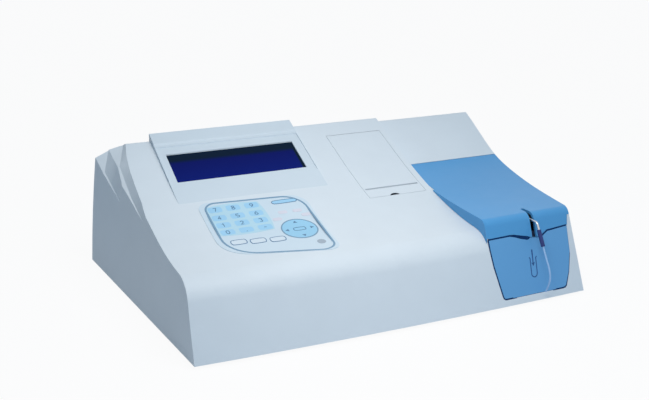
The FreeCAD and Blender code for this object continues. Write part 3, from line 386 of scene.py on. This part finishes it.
finish = {
    "housing": linear(218, 226, 233),
    "bezel": linear(208, 219, 228),
    "lid": linear(78, 154, 210),
    # panel: the lid's blue made lighter, painted light that the leaning front face lacks
    "panel": linear(98, 162, 214),
    "film": linear(204, 220, 232),
    "inner": linear(190, 200, 210),
    "dark": linear(38, 42, 50),
    "black": linear(38, 38, 40),
    "paper": linear(238, 238, 234),
    "sheet": linear(184, 192, 200),
    "sleeve": linear(50, 62, 118),
    # seal: painted shadow in the gaps round the front panel and under the lid's edge
    "gapShadow": linear(14, 50, 96),
    # tub: dark painted shade for the inside of the closed compartment under the lid
    "trayShade": linear(46, 58, 86),
    # notch: painted shadow in the thumb notch of the printer door
    "notch": linear(34, 38, 48),
    "keyBlue": linear(158, 206, 236),
    "keyWhite": linear(212, 224, 234),
    "keyPink": linear(214, 214, 226),
    "fieldBlue": linear(182, 216, 232),
    "inkBlue": linear(84, 124, 160),
    "inkTeal": linear(116, 152, 180),
    "disc": linear(152, 203, 232),
    "keyGrey": linear(160, 174, 188),
    "signBlue": linear(36, 82, 140),
}


# Screen-printed ink on film: flat colour with a faint unevenness of lay and sheen
def printedInk(name, colour):
    return mouldedPlastic(name, colour, roughness=0.45, grain=0.0003, depth=0.00001, mottling=0.02)


materials = {
    "housing": mouldedPlastic("housingPlastic", finish["housing"], roughness=0.46, specular=0.2),
    "bezel": mouldedPlastic("bezelPlastic", finish["bezel"], roughness=0.44, specular=0.2),
    "lid": mouldedPlastic("lidPlastic", finish["lid"], roughness=0.40, specular=0.35),
    # lit copy of the lid's plastic: painted light on the front panel
    "panel": mouldedPlastic("panelPlastic", finish["panel"], roughness=0.42, specular=0.35),
    "inner": mouldedPlastic("innerPlastic", finish["inner"], roughness=0.5),
    "dark": mouldedPlastic("darkPlastic", finish["dark"], roughness=0.45),
    "film": mouldedPlastic("keypadFilm", finish["film"], roughness=0.38, grain=0.0003, depth=0.00001,
                           mottling=0.008),
    "sheet": mouldedPlastic("coatedSheet", finish["sheet"], roughness=0.38, grain=0.0012, depth=0.00004,
                            mottling=0.02),
    "steel": metal("drawnSteel"),
    "board": circuitBoard("solderMask"),
    "screen": liquidCrystal("liquidCrystal"),
    "rubber": rubber("blackRubber", finish["black"]),
    "sleeve": rubber("sleeveSilicone", finish["sleeve"]),
    "gapShadow": rubber("paintedGapShadow", finish["gapShadow"], specular=0.08),
    "notch": rubber("notchShade", finish["notch"], specular=0.05),
    "trayShade": mouldedPlastic("trayPaintedShade", finish["trayShade"], roughness=0.5),
    "paper": mouldedPlastic("thermalPaper", finish["paper"], roughness=0.8, grain=0.0004, depth=0.00002,
                            mottling=0.02),
    "tube": clearTube("clearTube"),
}
inks = ("keyBlue", "keyWhite", "keyPink", "fieldBlue", "inkBlue", "inkTeal", "disc", "keyGrey", "signBlue")
for ink in inks:
    materials[ink] = printedInk(ink + "Ink", finish[ink])
slotMaterial = {
    "shell_white": "housing", "bezel_white": "bezel", "lid_blue": "lid", "screen_blue": "screen",
    "keypad_film": "film", "dark_plastic": "dark", "inner_plastic": "inner", "steel": "steel",
    "zinc_sheet": "sheet", "circuit_green": "board", "rubber_black": "rubber", "sleeve_dark": "sleeve",
    "clear_tube": "tube", "paper": "paper",
}


# Every node of the frame gets the material of its slot in the record, and two a colour of their own: the
# front panel a lighter copy of the lid's blue, painted light on the leaning front face, and the tray a dark
# blue-grey, painted shade inside the closed compartment
def dressNodes():
    for part in frame["record"]["subparts"]:
        mesh = nodes[part["node"]].data
        mesh.materials.clear()
        mesh.materials.append(materials[slotMaterial[part["material_slot"]]])
    nodes["front_panel"].data.materials[0] = materials["panel"]
    nodes["compartment_tray"].data.materials[0] = materials["trayShade"]


dressNodes()
print("nodes dressed")


# Smooth shells: piece, angle in degrees up to which its edges are shaded smooth, and slot

mergeDistance = 2e-6        # metres
faceWeight = 80             # how far large faces lead the shading
smoothShells = {
    "housing": ("housingShell", 11.0, "shell_white"),
    "compartment_lid": ("lidShell", 24.0, "lid_blue"),
    "front_panel": ("frontPanelSkin", 24.0, "lid_blue"),
    "display_bezel": ("bezelShell", 3.0, "bezel_white"),
    "printer_door": ("printerFlap", 24.0, "shell_white"),
    "keypad_overlay": ("keypadFilmSheet", 24.0, "keypad_film"),
    "sipper_pipe": ("sipperNeedle", 40.0, "steel"),
    "sipper_sleeve": ("sipperSleeve", 30.0, "sleeve_dark"),
    "compartment_tray": ("compartmentTub", 24.0, "inner_plastic"),
    "fan_rotor": ("fanBlades", 28.0, "dark_plastic"),
}


def bodyOf(node):
    return nodes[node]["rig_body"]


# Copy of a node's mesh with its corners merged and its gentle edges shaded smooth
def smoothCopy(node, name, angle, slot):
    piece = bpy.data.objects.new(name, nodes[node].data.copy())
    bpy.context.scene.collection.objects.link(piece)
    if "custom_normal" in piece.data.attributes:
        piece.data.attributes.remove(piece.data.attributes["custom_normal"])
    mesh = bmesh.new()
    mesh.from_mesh(piece.data)
    bmesh.ops.remove_doubles(mesh, verts=mesh.verts, dist=mergeDistance)
    mesh.to_mesh(piece.data)
    mesh.free()
    piece.data.shade_smooth()
    piece.data.set_sharp_from_angle(angle=math.radians(angle))
    weighted = piece.modifiers.new("weightedNormals", "WEIGHTED_NORMAL")
    weighted.keep_sharp = True
    weighted.weight = faceWeight
    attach(piece, bodyOf(node))
    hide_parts(node)


for node, row in smoothShells.items():
    smoothCopy(node, *row)
print("shells smoothed")


# Sipper tube: the cord's route in the plane of the pipe, in mm from the front corners

sipperTube = {
    "x": 145.4,
    "route": [(6.7, 48.9), (1.3, 39.9), (-4.6, 31.6), (-7.5, 23.6), (-5.9, 15.4), (-2.3, 7.6)],
    "diameter": 1.7,
    "length": 45.9,
    "order": 3,
    "steps": 16,                            # along each span
    "roundness": 4,                         # bevel resolution of the curve
}


# Tube along a NURBS curve whose control points are the route
def makeSipperTube():
    curve = bpy.data.curves.new("sipperTube", "CURVE")
    curve.dimensions = "3D"
    spline = curve.splines.new("NURBS")
    route = np.array(sipperTube["route"])
    points = place(np.full(len(route), sipperTube["x"]), route[:, 0], route[:, 1])
    spline.points.add(len(points) - 1)
    spline.points.foreach_set("co", np.column_stack([points, np.ones(len(points))]).ravel())
    spline.order_u = sipperTube["order"]
    spline.use_endpoint_u = True
    spline.resolution_u = sipperTube["steps"]
    curve.bevel_depth = sipperTube["diameter"] * mm / 2.0
    curve.bevel_resolution = sipperTube["roundness"]
    curve.use_fill_caps = True
    piece = bpy.data.objects.new("sipperTubeCord", curve)
    bpy.context.scene.collection.objects.link(piece)
    curve.materials.append(materials["tube"])
    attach(piece, "base")
    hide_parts("sipper_tube")


makeSipperTube()
print("sipper tube laid")


# Printed marks: thin layers of ink, each a surface over two lengths, laid just above what carries it

inkDepth = 0.2              # mm that each layer reaches below what carries it
filmDegrees = (5, 6)        # of the polynomials between the film's faces and over its top


# Height of the film's top over y: a polynomial through the upper points of its mesh, which are those above
# a first polynomial through all of them
def filmCurve():
    mesh = nodes["keypad_overlay"].data
    points = np.empty(len(mesh.vertices) * 3)
    mesh.vertices.foreach_get("co", points)
    points = points.reshape(-1, 3)
    y = (points[:, 1] - frontY) / mm
    z = (points[:, 2] - lowerZ) / mm
    between = np.polynomial.Polynomial.fit(y, z, filmDegrees[0])
    upper = z > between(y)
    return np.polynomial.Polynomial.fit(y[upper], z[upper], filmDegrees[1])


filmTop = filmCurve()


# Point (u, v) in mm on the keypad, lifted along the film's normal
def onFilm(u, v, lift):
    slope = filmTop.deriv()(v)
    size = np.sqrt(1.0 + slope ** 2)
    return place(u, v - lift * slope / size, filmTop(v) + lift / size)


# Point (u, v) in mm on the leaning front panel: u across, v up; its plan is an arc of frontRadius
def onPanel(u, v, lift):
    y = v * math.tan(frontLean) - frontBow + u ** 2 / (2.0 * frontRadius)
    return place(u, y - lift * math.cos(frontLean), v + lift * math.sin(frontLean))


# Square grid bent to a rounded patch: each coordinate shrinks by the root of one less half the square of
# the other one times bulge, so that bulge 1 gives an ellipse
def patch(centre, size, bulge=0.5, steps=12):
    u, v = np.meshgrid(np.linspace(-1.0, 1.0, steps + 1), np.linspace(-1.0, 1.0, steps + 1), indexing="ij")
    x = size[0] / 2.0 * u * np.sqrt(1.0 - bulge * v ** 2 / 2.0)
    y = size[1] / 2.0 * v * np.sqrt(1.0 - bulge * u ** 2 / 2.0)
    return centre[0] + x, centre[1] + y, False


# Edge of the same rounded patch as a closed path
def patchEdge(centre, size, bulge=0.5, steps=10):
    t = np.linspace(-1.0, 1.0, steps, endpoint=False)
    u = np.concatenate([t, np.ones(steps), -t, -np.ones(steps)])
    v = np.concatenate([-np.ones(steps), t, np.ones(steps), -t])
    x = size[0] / 2.0 * u * np.sqrt(1.0 - bulge * v ** 2 / 2.0)
    y = size[1] / 2.0 * v * np.sqrt(1.0 - bulge * u ** 2 / 2.0)
    return np.column_stack([centre[0] + x, centre[1] + y])


sharpest = 0.5              # least cosine of half a bend that a band's width follows


# Band along a path: each point of the path is moved out to both sides by half the width there, across
# the mean direction of the two runs that meet in it
def band(path, width, closed=False):
    path = np.array(path, dtype=float)
    width = np.broadcast_to(np.asarray(width, dtype=float), len(path))
    runs = np.roll(path, -1, axis=0) - path
    if not closed:
        runs[-1] = runs[-2]
    runs /= np.linalg.norm(runs, axis=1, keepdims=True)
    before = np.roll(runs, 1, axis=0)
    if not closed:
        before[0] = runs[0]
    mean = runs + before
    mean /= np.linalg.norm(mean, axis=1, keepdims=True)
    reach = width / 2.0 / np.maximum((mean * runs).sum(axis=1), sharpest)
    left = np.column_stack([-mean[:, 1], mean[:, 0]]) * reach[:, None]
    side = np.array([-1.0, 0.0, 1.0])
    grid = path[:, None, :] + left[:, None, :] * side[None, :, None]
    return grid[..., 0], grid[..., 1], closed


# Circle as a closed path
def circle(centre, radius, steps=48):
    angle = np.arange(steps) * 2.0 * math.pi / steps
    return np.column_stack([centre[0] + radius * np.cos(angle), centre[1] + radius * np.sin(angle)])


# Closed path round corners (x, y, radius): at each corner an arc round a centre on the line that halves
# the angle, from one tangent point to the other, drawn in by inset
def roundedLoop(corners, inset, steps=10):
    corners = np.array(corners, dtype=float)
    spots, radii = corners[:, :2], corners[:, 2]
    back = np.roll(spots, 1, axis=0) - spots
    ahead = np.roll(spots, -1, axis=0) - spots
    back /= np.linalg.norm(back, axis=1, keepdims=True)
    ahead /= np.linalg.norm(ahead, axis=1, keepdims=True)
    middle = back + ahead
    middle /= np.linalg.norm(middle, axis=1, keepdims=True)
    half = np.arccos((middle * ahead).sum(axis=1))
    centres = spots + middle * (radii / np.sin(half))[:, None]
    turn = math.pi / 2.0 - half
    facing = np.arctan2(-middle[:, 1], -middle[:, 0])
    sense = np.sign(back[:, 0] * ahead[:, 1] - back[:, 1] * ahead[:, 0])
    share = np.linspace(-1.0, 1.0, steps)
    angle = facing[:, None] - sense[:, None] * turn[:, None] * share[None, :]
    radius = (radii - inset)[:, None]
    x = centres[:, 0:1] + radius * np.cos(angle)
    y = centres[:, 1:2] + radius * np.sin(angle)
    return np.column_stack([x.ravel(), y.ravel()])


# One mesh from several grids laid on a surface: each four neighbours in a grid make a face, a closed grid
# runs on from its last row to its first, and Solidify gives the sheet its thickness below
def inkLayer(name, grids, surface, lift, material, body, depth=inkDepth):
    points, faces, start = [], [], 0
    for u, v, closed in grids:
        rows, columns = u.shape
        points.append(surface(u, v, lift).reshape(-1, 3))
        i, j = np.meshgrid(np.arange(rows if closed else rows - 1), np.arange(columns - 1), indexing="ij")
        ahead = (i + 1) % rows
        cells = np.stack([i * columns + j, ahead * columns + j, ahead * columns + j + 1, i * columns + j + 1],
                         axis=-1)
        faces.append(cells.reshape(-1, 4) + start)
        start += rows * columns
    mesh = bpy.data.meshes.new(name)
    mesh.from_pydata(np.concatenate(points).tolist(), [], np.concatenate(faces).tolist())
    mesh.materials.append(materials[material])
    piece = bpy.data.objects.new(name, mesh)
    bpy.context.scene.collection.objects.link(piece)
    solid = piece.modifiers.new("inkBody", "SOLIDIFY")
    solid.thickness = (lift + depth) * mm
    solid.offset = -1.0
    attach(piece, body)


# Keypad print, in mm from the housing's front corners

keypadPrint = {
    "borderCorners": [(-136.8, 149.0, 12.0), (-39.6, 144.0, 22.0), (-43.0, 41.6, 14.0), (-138.6, 62.8, 34.0)],
    "border": 1.9,
    "columns": (-127.5, -110.0, -92.0),
    "rows": (137.0, 124.0, 112.0, 100.0),
    "key": (13.6, 8.6),
    "outlined": [(-123.6, 81.6), (-106.4, 79.2), (-88.6, 77.2)],
    "outlinedKey": (14.4, 8.0),
    "legend": (-59.5, 136.4, 25.0, 5.4),
    "small": [(-67.5, 119.6), (-53.0, 119.4), (-76.4, 109.6), (-47.4, 111.2)],
    "smallKey": (9.0, 5.0),
    "round": (-53.3, 61.6, 8.0),
    "field": (-110.0, 118.6, 56.0, 51.0),
    "disc": (-63.0, 89.0, 33.0),
    "rim": 1.2,
    "lozenge": (11.5, 5.2),
    "line": 0.75,
    "digitHeight": 5.0,
    "digitWidth": 2.8,
    "digits": ("7", "8", "9", "4", "5", "6", "1", "2", "3", "0", ".", "-"),
    "arrowRing": 0.37,                      # radius of the arrows' ring as a share of the disc's width
    "arrow": (3.2, 4.0),                    # length and foot
    "arrowTip": 0.12,
}

# Strokes of the digits in a box one wide and two high
digitStrokes = {
    "0": [[(0.3, 0), (0, 0.4), (0, 1.6), (0.3, 2), (0.7, 2), (1, 1.6), (1, 0.4), (0.7, 0), (0.3, 0)]],
    "1": [[(0.15, 1.6), (0.55, 2), (0.55, 0)]],
    "2": [[(0, 1.6), (0.3, 2), (0.7, 2), (1, 1.6), (1, 1.25), (0, 0), (1, 0)]],
    "3": [[(0, 1.8), (0.4, 2), (0.8, 2), (1, 1.6), (0.6, 1.1), (1, 0.6), (0.8, 0), (0.4, 0), (0, 0.2)]],
    "4": [[(0.75, 0), (0.75, 2), (0, 0.6), (1, 0.6)]],
    "5": [[(1, 2), (0.1, 2), (0, 1.1), (0.6, 1.2), (1, 0.9), (1, 0.35), (0.6, 0), (0, 0.15)]],
    "6": [[(0.9, 1.9), (0.3, 1.6), (0, 0.9), (0, 0.3), (0.35, 0), (0.7, 0), (1, 0.4), (0.9, 1), (0.1, 1)]],
    "7": [[(0, 2), (1, 2), (0.4, 0)]],
    "8": [[(0.5, 1.05), (0.1, 1.4), (0.1, 1.8), (0.4, 2), (0.6, 2), (0.9, 1.8), (0.9, 1.4), (0.5, 1.05)],
          [(0.5, 1.05), (0, 0.7), (0, 0.3), (0.3, 0), (0.7, 0), (1, 0.3), (1, 0.7), (0.5, 1.05)]],
    "9": [[(0.1, 0.1), (0.7, 0.4), (1, 1.1), (1, 1.7), (0.65, 2), (0.3, 2), (0, 1.6), (0.1, 1), (0.9, 1)]],
    ".": [[(0.35, 0.15), (0.65, 0.15)]],
    "-": [[(0.1, 1), (0.9, 1)]],
}


# Bands of one digit's strokes round a centre
def digit(sign, centre):
    width, height = keypadPrint["digitWidth"], keypadPrint["digitHeight"]
    bands = []
    for stroke in digitStrokes[sign]:
        path = (np.array(stroke) - (0.5, 1.0)) * (width, height / 2.0) + centre
        bands.append(band(path, keypadPrint["line"]))
    return bands


# Filled arrow that points outwards: a band whose width falls from its foot to almost nothing at its tip
def arrow(centre, angle, reach):
    length, foot = keypadPrint["arrow"]
    way = np.array([math.cos(math.radians(angle)), math.sin(math.radians(angle))])
    path = np.array(centre) + way * reach + np.outer([-0.5, 0.0, 0.5], way) * length
    return band(path, [foot, foot / 2.0, keypadPrint["arrowTip"]])


# Layers of the print: name, grids, height in mm above the film, and ink
def makeKeypadPrint():
    row = keypadPrint
    spots = [(x, y) for y in row["rows"] for x in row["columns"]]
    border = band(roundedLoop(row["borderCorners"], row["border"] / 2.0), row["border"], True)
    discX, discY, across = row["disc"]
    field = patch(row["field"][:2], row["field"][2:], bulge=0.35, steps=24)
    legend = patch(row["legend"][:2], row["legend"][2:])
    keys = [patch(spot, row["key"], bulge=0.45) for spot in spots] + [legend]
    signs = [mark for spot, sign in zip(spots, row["digits"]) for mark in digit(sign, spot)]
    arrows = [arrow((discX, discY), angle, across * row["arrowRing"]) for angle in (0, 90, 180, 270)]
    ovals = [(row["legend"][:2], row["legend"][2:]), ((discX, discY), row["lozenge"])]
    outlines = [band(patchEdge(spot, row["outlinedKey"]), row["line"], True) for spot in row["outlined"]]
    outlines += [band(patchEdge(spot, size), row["line"], True) for spot, size in ovals]
    whites = [patch(spot, row["outlinedKey"]) for spot in row["outlined"]]
    pinks = [patch(spot, row["smallKey"]) for spot in row["small"]]
    knobX, knobY, knob = row["round"]
    layers = [
        ("keypadBorder", [border], 0.12, "inkTeal"),
        ("keypadField", [field], 0.10, "fieldBlue"),
        ("keypadKeys", keys, 0.16, "keyBlue"),
        ("keypadWhiteKeys", whites, 0.16, "keyWhite"),
        ("keypadPinkKeys", pinks, 0.16, "keyPink"),
        ("keypadDisc", [patch((discX, discY), (across, across), bulge=1.0, steps=28)], 0.16, "disc"),
        ("keypadDiscRim", [band(circle((discX, discY), across / 2.0), row["rim"], True)], 0.22, "inkTeal"),
        ("keypadRoundKey", [patch((knobX, knobY), (knob, knob), bulge=1.0)], 0.18, "keyGrey"),
        ("keypadMarks", signs + arrows + outlines, 0.24, "inkBlue"),
    ]
    for name, grids, lift, ink in layers:
        inkLayer(name, grids, onFilm, lift, ink, "base")


makeKeypadPrint()
print("keypad printed")


# Sample tube and needle sign on the front panel, in mm from the front corners

panelSign = {
    "left": 136.4,
    "right": 142.8,
    "top": 37.0,
    "bottom": 20.2,
    "needle": 139.3,
    "needleTop": 43.6,
    "needleEnd": 30.4,
    "line": 0.9,
    "slant": -0.075,                        # drift of the sign to the left for each mm down
    "lip": (1.0, 0.4),                      # flare of the tube's mouth, out and up
    "neck": 0.8,                            # from the top down to where the flare starts
    "barb": (1.5, 2.2),
    "barbDrop": 0.2,
    "needleTopLine": 1.6,                   # widths as shares of the line
    "barbLine": 0.8,
    "bendPoints": 13,
    "lift": 0.12,
}


# Bands along the tube's outline, whose foot is half a circle, along the needle and along its barb
def makePanelSign():
    row = panelSign
    lipOut, lipUp = row["lip"]
    barbOut, barbUp = row["barb"]
    neck = row["top"] - row["neck"]
    radius = (row["right"] - row["left"]) / 2.0
    middle = (row["right"] + row["left"]) / 2.0
    angle = np.linspace(math.pi, 2.0 * math.pi, row["bendPoints"])
    bend = np.column_stack([middle + radius * np.cos(angle), row["bottom"] + radius * (1.0 + np.sin(angle))])
    outline = np.vstack([[(row["left"] - lipOut, row["top"] + lipUp), (row["left"], neck)], bend,
                         [(row["right"], neck), (row["right"] + lipOut, row["top"] + lipUp)]])
    needle = [(row["needle"], row["needleTop"]), (row["needle"], row["needleEnd"])]
    barb = [(row["needle"] - barbOut, row["needleEnd"] + barbUp),
            (row["needle"], row["needleEnd"] - row["barbDrop"]),
            (row["needle"] + barbOut, row["needleEnd"] + barbUp)]
    strokes = [(outline, row["line"]), (needle, [row["line"] * row["needleTopLine"], row["line"]]),
               (barb, row["line"] * row["barbLine"])]
    grids = []
    for stroke, width in strokes:
        path = np.array(stroke, dtype=float)
        path[:, 0] -= row["slant"] * (path[:, 1] - row["top"])
        grids.append(band(path, width))
    inkLayer("panelSignInk", grids, onPanel, row["lift"], "signBlue", bodyOf("front_panel"))


makePanelSign()
print("panel sign printed")


# Dark bands of painted shadow in the gaps round the front panel and under the lid's edge, in mm from the
# front corners

panelSeal = {
    "edge": [(94.5, 57.8), (94.7, 49.0), (96.0, 35.0), (100.8, 9.0), (101.4, 7.3), (102.6, 6.3), (104.0, 6.1),
             (168.0, 6.1), (170.4, 6.4), (172.2, 7.6), (177.6, 18.9), (182.1, 34.8)],
    "edgeWidth": [1.3] * 9 + [1.0, 0.6, 0.3],
    # the left band widens into painted shade in the finger scoop
    "left": [(94.6, 58.0), (107.0, 58.2), (118.0, 58.4), (124.0, 57.4), (130.0, 55.6), (137.0, 54.1),
             (140.0, 54.0)],
    "leftWidth": [1.3, 1.3, 1.5, 2.2, 2.9, 3.3, 1.2],
    "right": [(149.6, 53.1), (153.7, 54.0), (160.4, 57.6), (166.0, 57.9), (183.2, 59.1)],
    "rightWidth": [1.2, 1.5, 1.5, 1.4, 1.3],
    "edgeLift": 0.04,
    "lidLift": 0.06,
}


# Bands of painted shadow along the panel's edge and along the lid's edge, left and right of the sipper's
# opening; the left one widens into the painted shade of the finger scoop
def makePanelGapShadows():
    row = panelSeal
    inkLayer("panelEdgeSeal", [band(row["edge"], row["edgeWidth"])], onPanel, row["edgeLift"], "gapShadow",
             bodyOf("front_panel"))
    grids = [band(row["left"], row["leftWidth"]), band(row["right"], row["rightWidth"])]
    inkLayer("lidEdgeShadow", grids, onPanel, row["lidLift"], "gapShadow", bodyOf("front_panel"))


makePanelGapShadows()
print("seals laid")


# Side skirt of the lid: covers the step between the main section and the lid, in mm

lidSkirt = {
    "x": 93.2,                              # outer face
    "thickness": 0.3,
    "lidAt": 98.0,                          # where the lid's top is measured
    "mainAt": 91.5,                         # where the main section's top is measured
    "front": 18.0,
    "rear": 132.0,
    "stations": 229,
    "clearance": 0.35,                      # above the main section
    "proud": 0.25,                          # above the lid's top
    "leastHeight": 0.9,
    "overlap": (94.2, 95.7),                # x of the rows in the flange over the gap beside the lid
    "rows": 5,                              # in the upright part
}
rayHeight = 300.0                           # from where heights are measured


# Height of a node's top at x over the values y, found from straight above
def topOver(node, x, values):
    mesh = bmesh.new()
    mesh.from_mesh(nodes[node].data)
    surface = BVHTree.FromBMesh(mesh)
    mesh.free()
    starts = place(np.full(len(values), x), values, np.full(len(values), rayHeight)).tolist()
    hits = [surface.ray_cast(Vector(start), Vector((0.0, 0.0, -1.0)))[0] for start in starts]
    return np.array([(hit.z - lowerZ) / mm if hit else 0.0 for hit in hits])


# Bent sheet along y: at each y it runs straight up from the lower curve to the upper one, in equal steps,
# then level across to the lid
def makeLidSkirt():
    row = lidSkirt
    y = np.linspace(row["front"], row["rear"], row["stations"])
    upper = topOver("compartment_lid", row["lidAt"], y) + row["proud"]
    lower = topOver("housing", row["mainAt"], y) + row["clearance"]
    kept = upper - lower > row["leastHeight"]
    y, upper, lower = y[kept], upper[kept], lower[kept]
    rise = np.append(np.linspace(0.0, 1.0, row["rows"]), np.ones(len(row["overlap"])))
    x = np.append(np.full(row["rows"], row["x"]), row["overlap"])
    z = lower[::-1, None] + (upper - lower)[::-1, None] * rise
    along = np.broadcast_to(y[::-1, None], z.shape)

    def onSkirt(u, v, lift):
        return place(np.broadcast_to(x - lift, u.shape), u, v)

    inkLayer("lidSideSkirt", [(along, z, False)], onSkirt, 0.0, "lid",
             bodyOf("compartment_lid"), row["thickness"])


makeLidSkirt()
print("lid skirt made")


# Painted shadow in the thumb notch of the printer door: a dark patch just under the door's top, in mm

notchShadowPatch = {
    "x": 52.5,
    "y": 125.1,
    "size": (10.6, 3.6),
    "depth": 0.3,                           # below the door's top
    "bulge": 0.7,
    "thickness": 0.3,
    "aside": 12.0,                          # from the notch to where the door's slope is measured
    "behind": (3.0, 5.0),
}


# Dark patch of painted shadow parallel to the door's top: its height is a straight line over y through two
# heights of the door
def makeNotchShadow():
    row = notchShadowPatch
    near, far = row["behind"]
    over = topOver("printer_door", row["x"] + row["aside"], np.array([row["y"] + near, row["y"] + far]))
    slope = (over[1] - over[0]) / (far - near)

    def onNotchShadow(u, v, lift):
        return place(u, v, over[0] + slope * (v - row["y"] - near) - row["depth"] + lift)

    floor = patch((row["x"], row["y"]), row["size"], bulge=row["bulge"])
    inkLayer("thumbNotchPaintedShadow", [floor], onNotchShadow, 0.0, "notch", bodyOf("printer_door"),
             row["thickness"])


makeNotchShadow()
print("thumb notch darkened")


# Floor and light

# One where any of the named kinds of ray looks, else nought
def lightPathShare(tree, rays):
    path = tree.nodes.new("ShaderNodeLightPath")
    share = path.outputs[rays[0]]
    for ray in rays[1:]:
        either = tree.nodes.new("ShaderNodeMath")
        either.operation = "MAXIMUM"
        tree.links.new(share, either.inputs[0])
        tree.links.new(path.outputs[ray], either.inputs[1])
        share = either.outputs[0]
    return share


studio = {
    "floor": (0.74, 0.78, 0.84, 1.0),
    "floorReach": 6.0,                      # metres from the middle to each edge
    "floorGlow": 0.94,                      # share of the floor that shows plain white
    "ambient": (0.66, 0.84, 1.0, 1.0),
    "brightSide": (0.75, -0.55, 0.36),      # direction from which the surroundings are brightest
    "ambientLow": 0.13,
    "ambientHigh": 0.70,
    "lampPlace": (-35.0, -60.0, 460.0),     # mm from the front corners and the lower edge
    "lampAim": (0.0, 120.0, 60.0),
    "lampSize": 0.30,
    "lampPower": 1.24,
    "lampColour": (1.0, 0.95, 0.89),
}
seenRays = ("Is Camera Ray", "Is Glossy Ray", "Is Transmission Ray")


# Large pale floor that keeps the shadow but shows almost white
def makeFloor():
    reach = studio["floorReach"]
    mesh = bpy.data.meshes.new("floor")
    corners = [(-reach, -reach, 0), (reach, -reach, 0), (reach, reach, 0), (-reach, reach, 0)]
    mesh.from_pydata(corners, [], [(0, 1, 2, 3)])
    floor = bpy.data.objects.new("floor", mesh)
    bpy.context.scene.collection.objects.link(floor)
    material = bpy.data.materials.new("paleFloor")
    material.use_nodes = True
    tree = material.node_tree
    tree.nodes.clear()
    out = tree.nodes.new("ShaderNodeOutputMaterial")
    matte = tree.nodes.new("ShaderNodeBsdfDiffuse")
    matte.inputs["Color"].default_value = studio["floor"]
    glow = tree.nodes.new("ShaderNodeEmission")
    share = tree.nodes.new("ShaderNodeMath")
    share.operation = "MULTIPLY"
    share.inputs[1].default_value = studio["floorGlow"]
    mix = tree.nodes.new("ShaderNodeMixShader")
    tree.links.new(lightPathShare(tree, seenRays), share.inputs[0])
    tree.links.new(share.outputs[0], mix.inputs["Fac"])
    tree.links.new(matte.outputs[0], mix.inputs[1])
    tree.links.new(glow.outputs[0], mix.inputs[2])
    tree.links.new(mix.outputs[0], out.inputs["Surface"])
    mesh.materials.append(material)


# Pale surroundings: white to the camera and in reflections, bluer as light and weaker from one side
def makeWorld():
    world = bpy.data.worlds.new("studio")
    bpy.context.scene.world = world
    world.use_nodes = True
    tree = world.node_tree
    tree.nodes.clear()
    out = tree.nodes.new("ShaderNodeOutputWorld")
    ambient = tree.nodes.new("ShaderNodeBackground")
    ambient.inputs["Color"].default_value = studio["ambient"]
    coords = tree.nodes.new("ShaderNodeTexCoord")
    facing = tree.nodes.new("ShaderNodeVectorMath")
    facing.operation = "DOT_PRODUCT"
    facing.inputs[1].default_value = studio["brightSide"]
    span = tree.nodes.new("ShaderNodeMapRange")
    span.inputs["From Min"].default_value = -1.0
    span.inputs["To Min"].default_value = studio["ambientLow"]
    span.inputs["To Max"].default_value = studio["ambientHigh"]
    tree.links.new(coords.outputs["Generated"], facing.inputs[0])
    tree.links.new(facing.outputs["Value"], span.inputs["Value"])
    tree.links.new(span.outputs["Result"], ambient.inputs["Strength"])
    shown = tree.nodes.new("ShaderNodeBackground")
    shown.inputs["Color"].default_value = (1.0, 1.0, 1.0, 1.0)
    mix = tree.nodes.new("ShaderNodeMixShader")
    tree.links.new(lightPathShare(tree, seenRays), mix.inputs["Fac"])
    tree.links.new(ambient.outputs[0], mix.inputs[1])
    tree.links.new(shown.outputs[0], mix.inputs[2])
    tree.links.new(mix.outputs[0], out.inputs["Surface"])


# Large soft lamp high above the front
def makeLamp():
    lamp = bpy.data.lights.new("key", "AREA")
    lamp.shape = "DISK"
    lamp.size = studio["lampSize"]
    lamp.energy = studio["lampPower"]
    lamp.color = studio["lampColour"]
    holder = bpy.data.objects.new("key", lamp)
    bpy.context.scene.collection.objects.link(holder)
    here = Vector(place(*np.array(studio["lampPlace"])).tolist())
    there = Vector(place(*np.array(studio["lampAim"])).tolist())
    holder.location = here
    holder.rotation_euler = (there - here).to_track_quat("-Z", "Y").to_euler()


makeFloor()
makeWorld()
makeLamp()
bpy.context.scene.view_settings.view_transform = "Standard"
print("stage set")
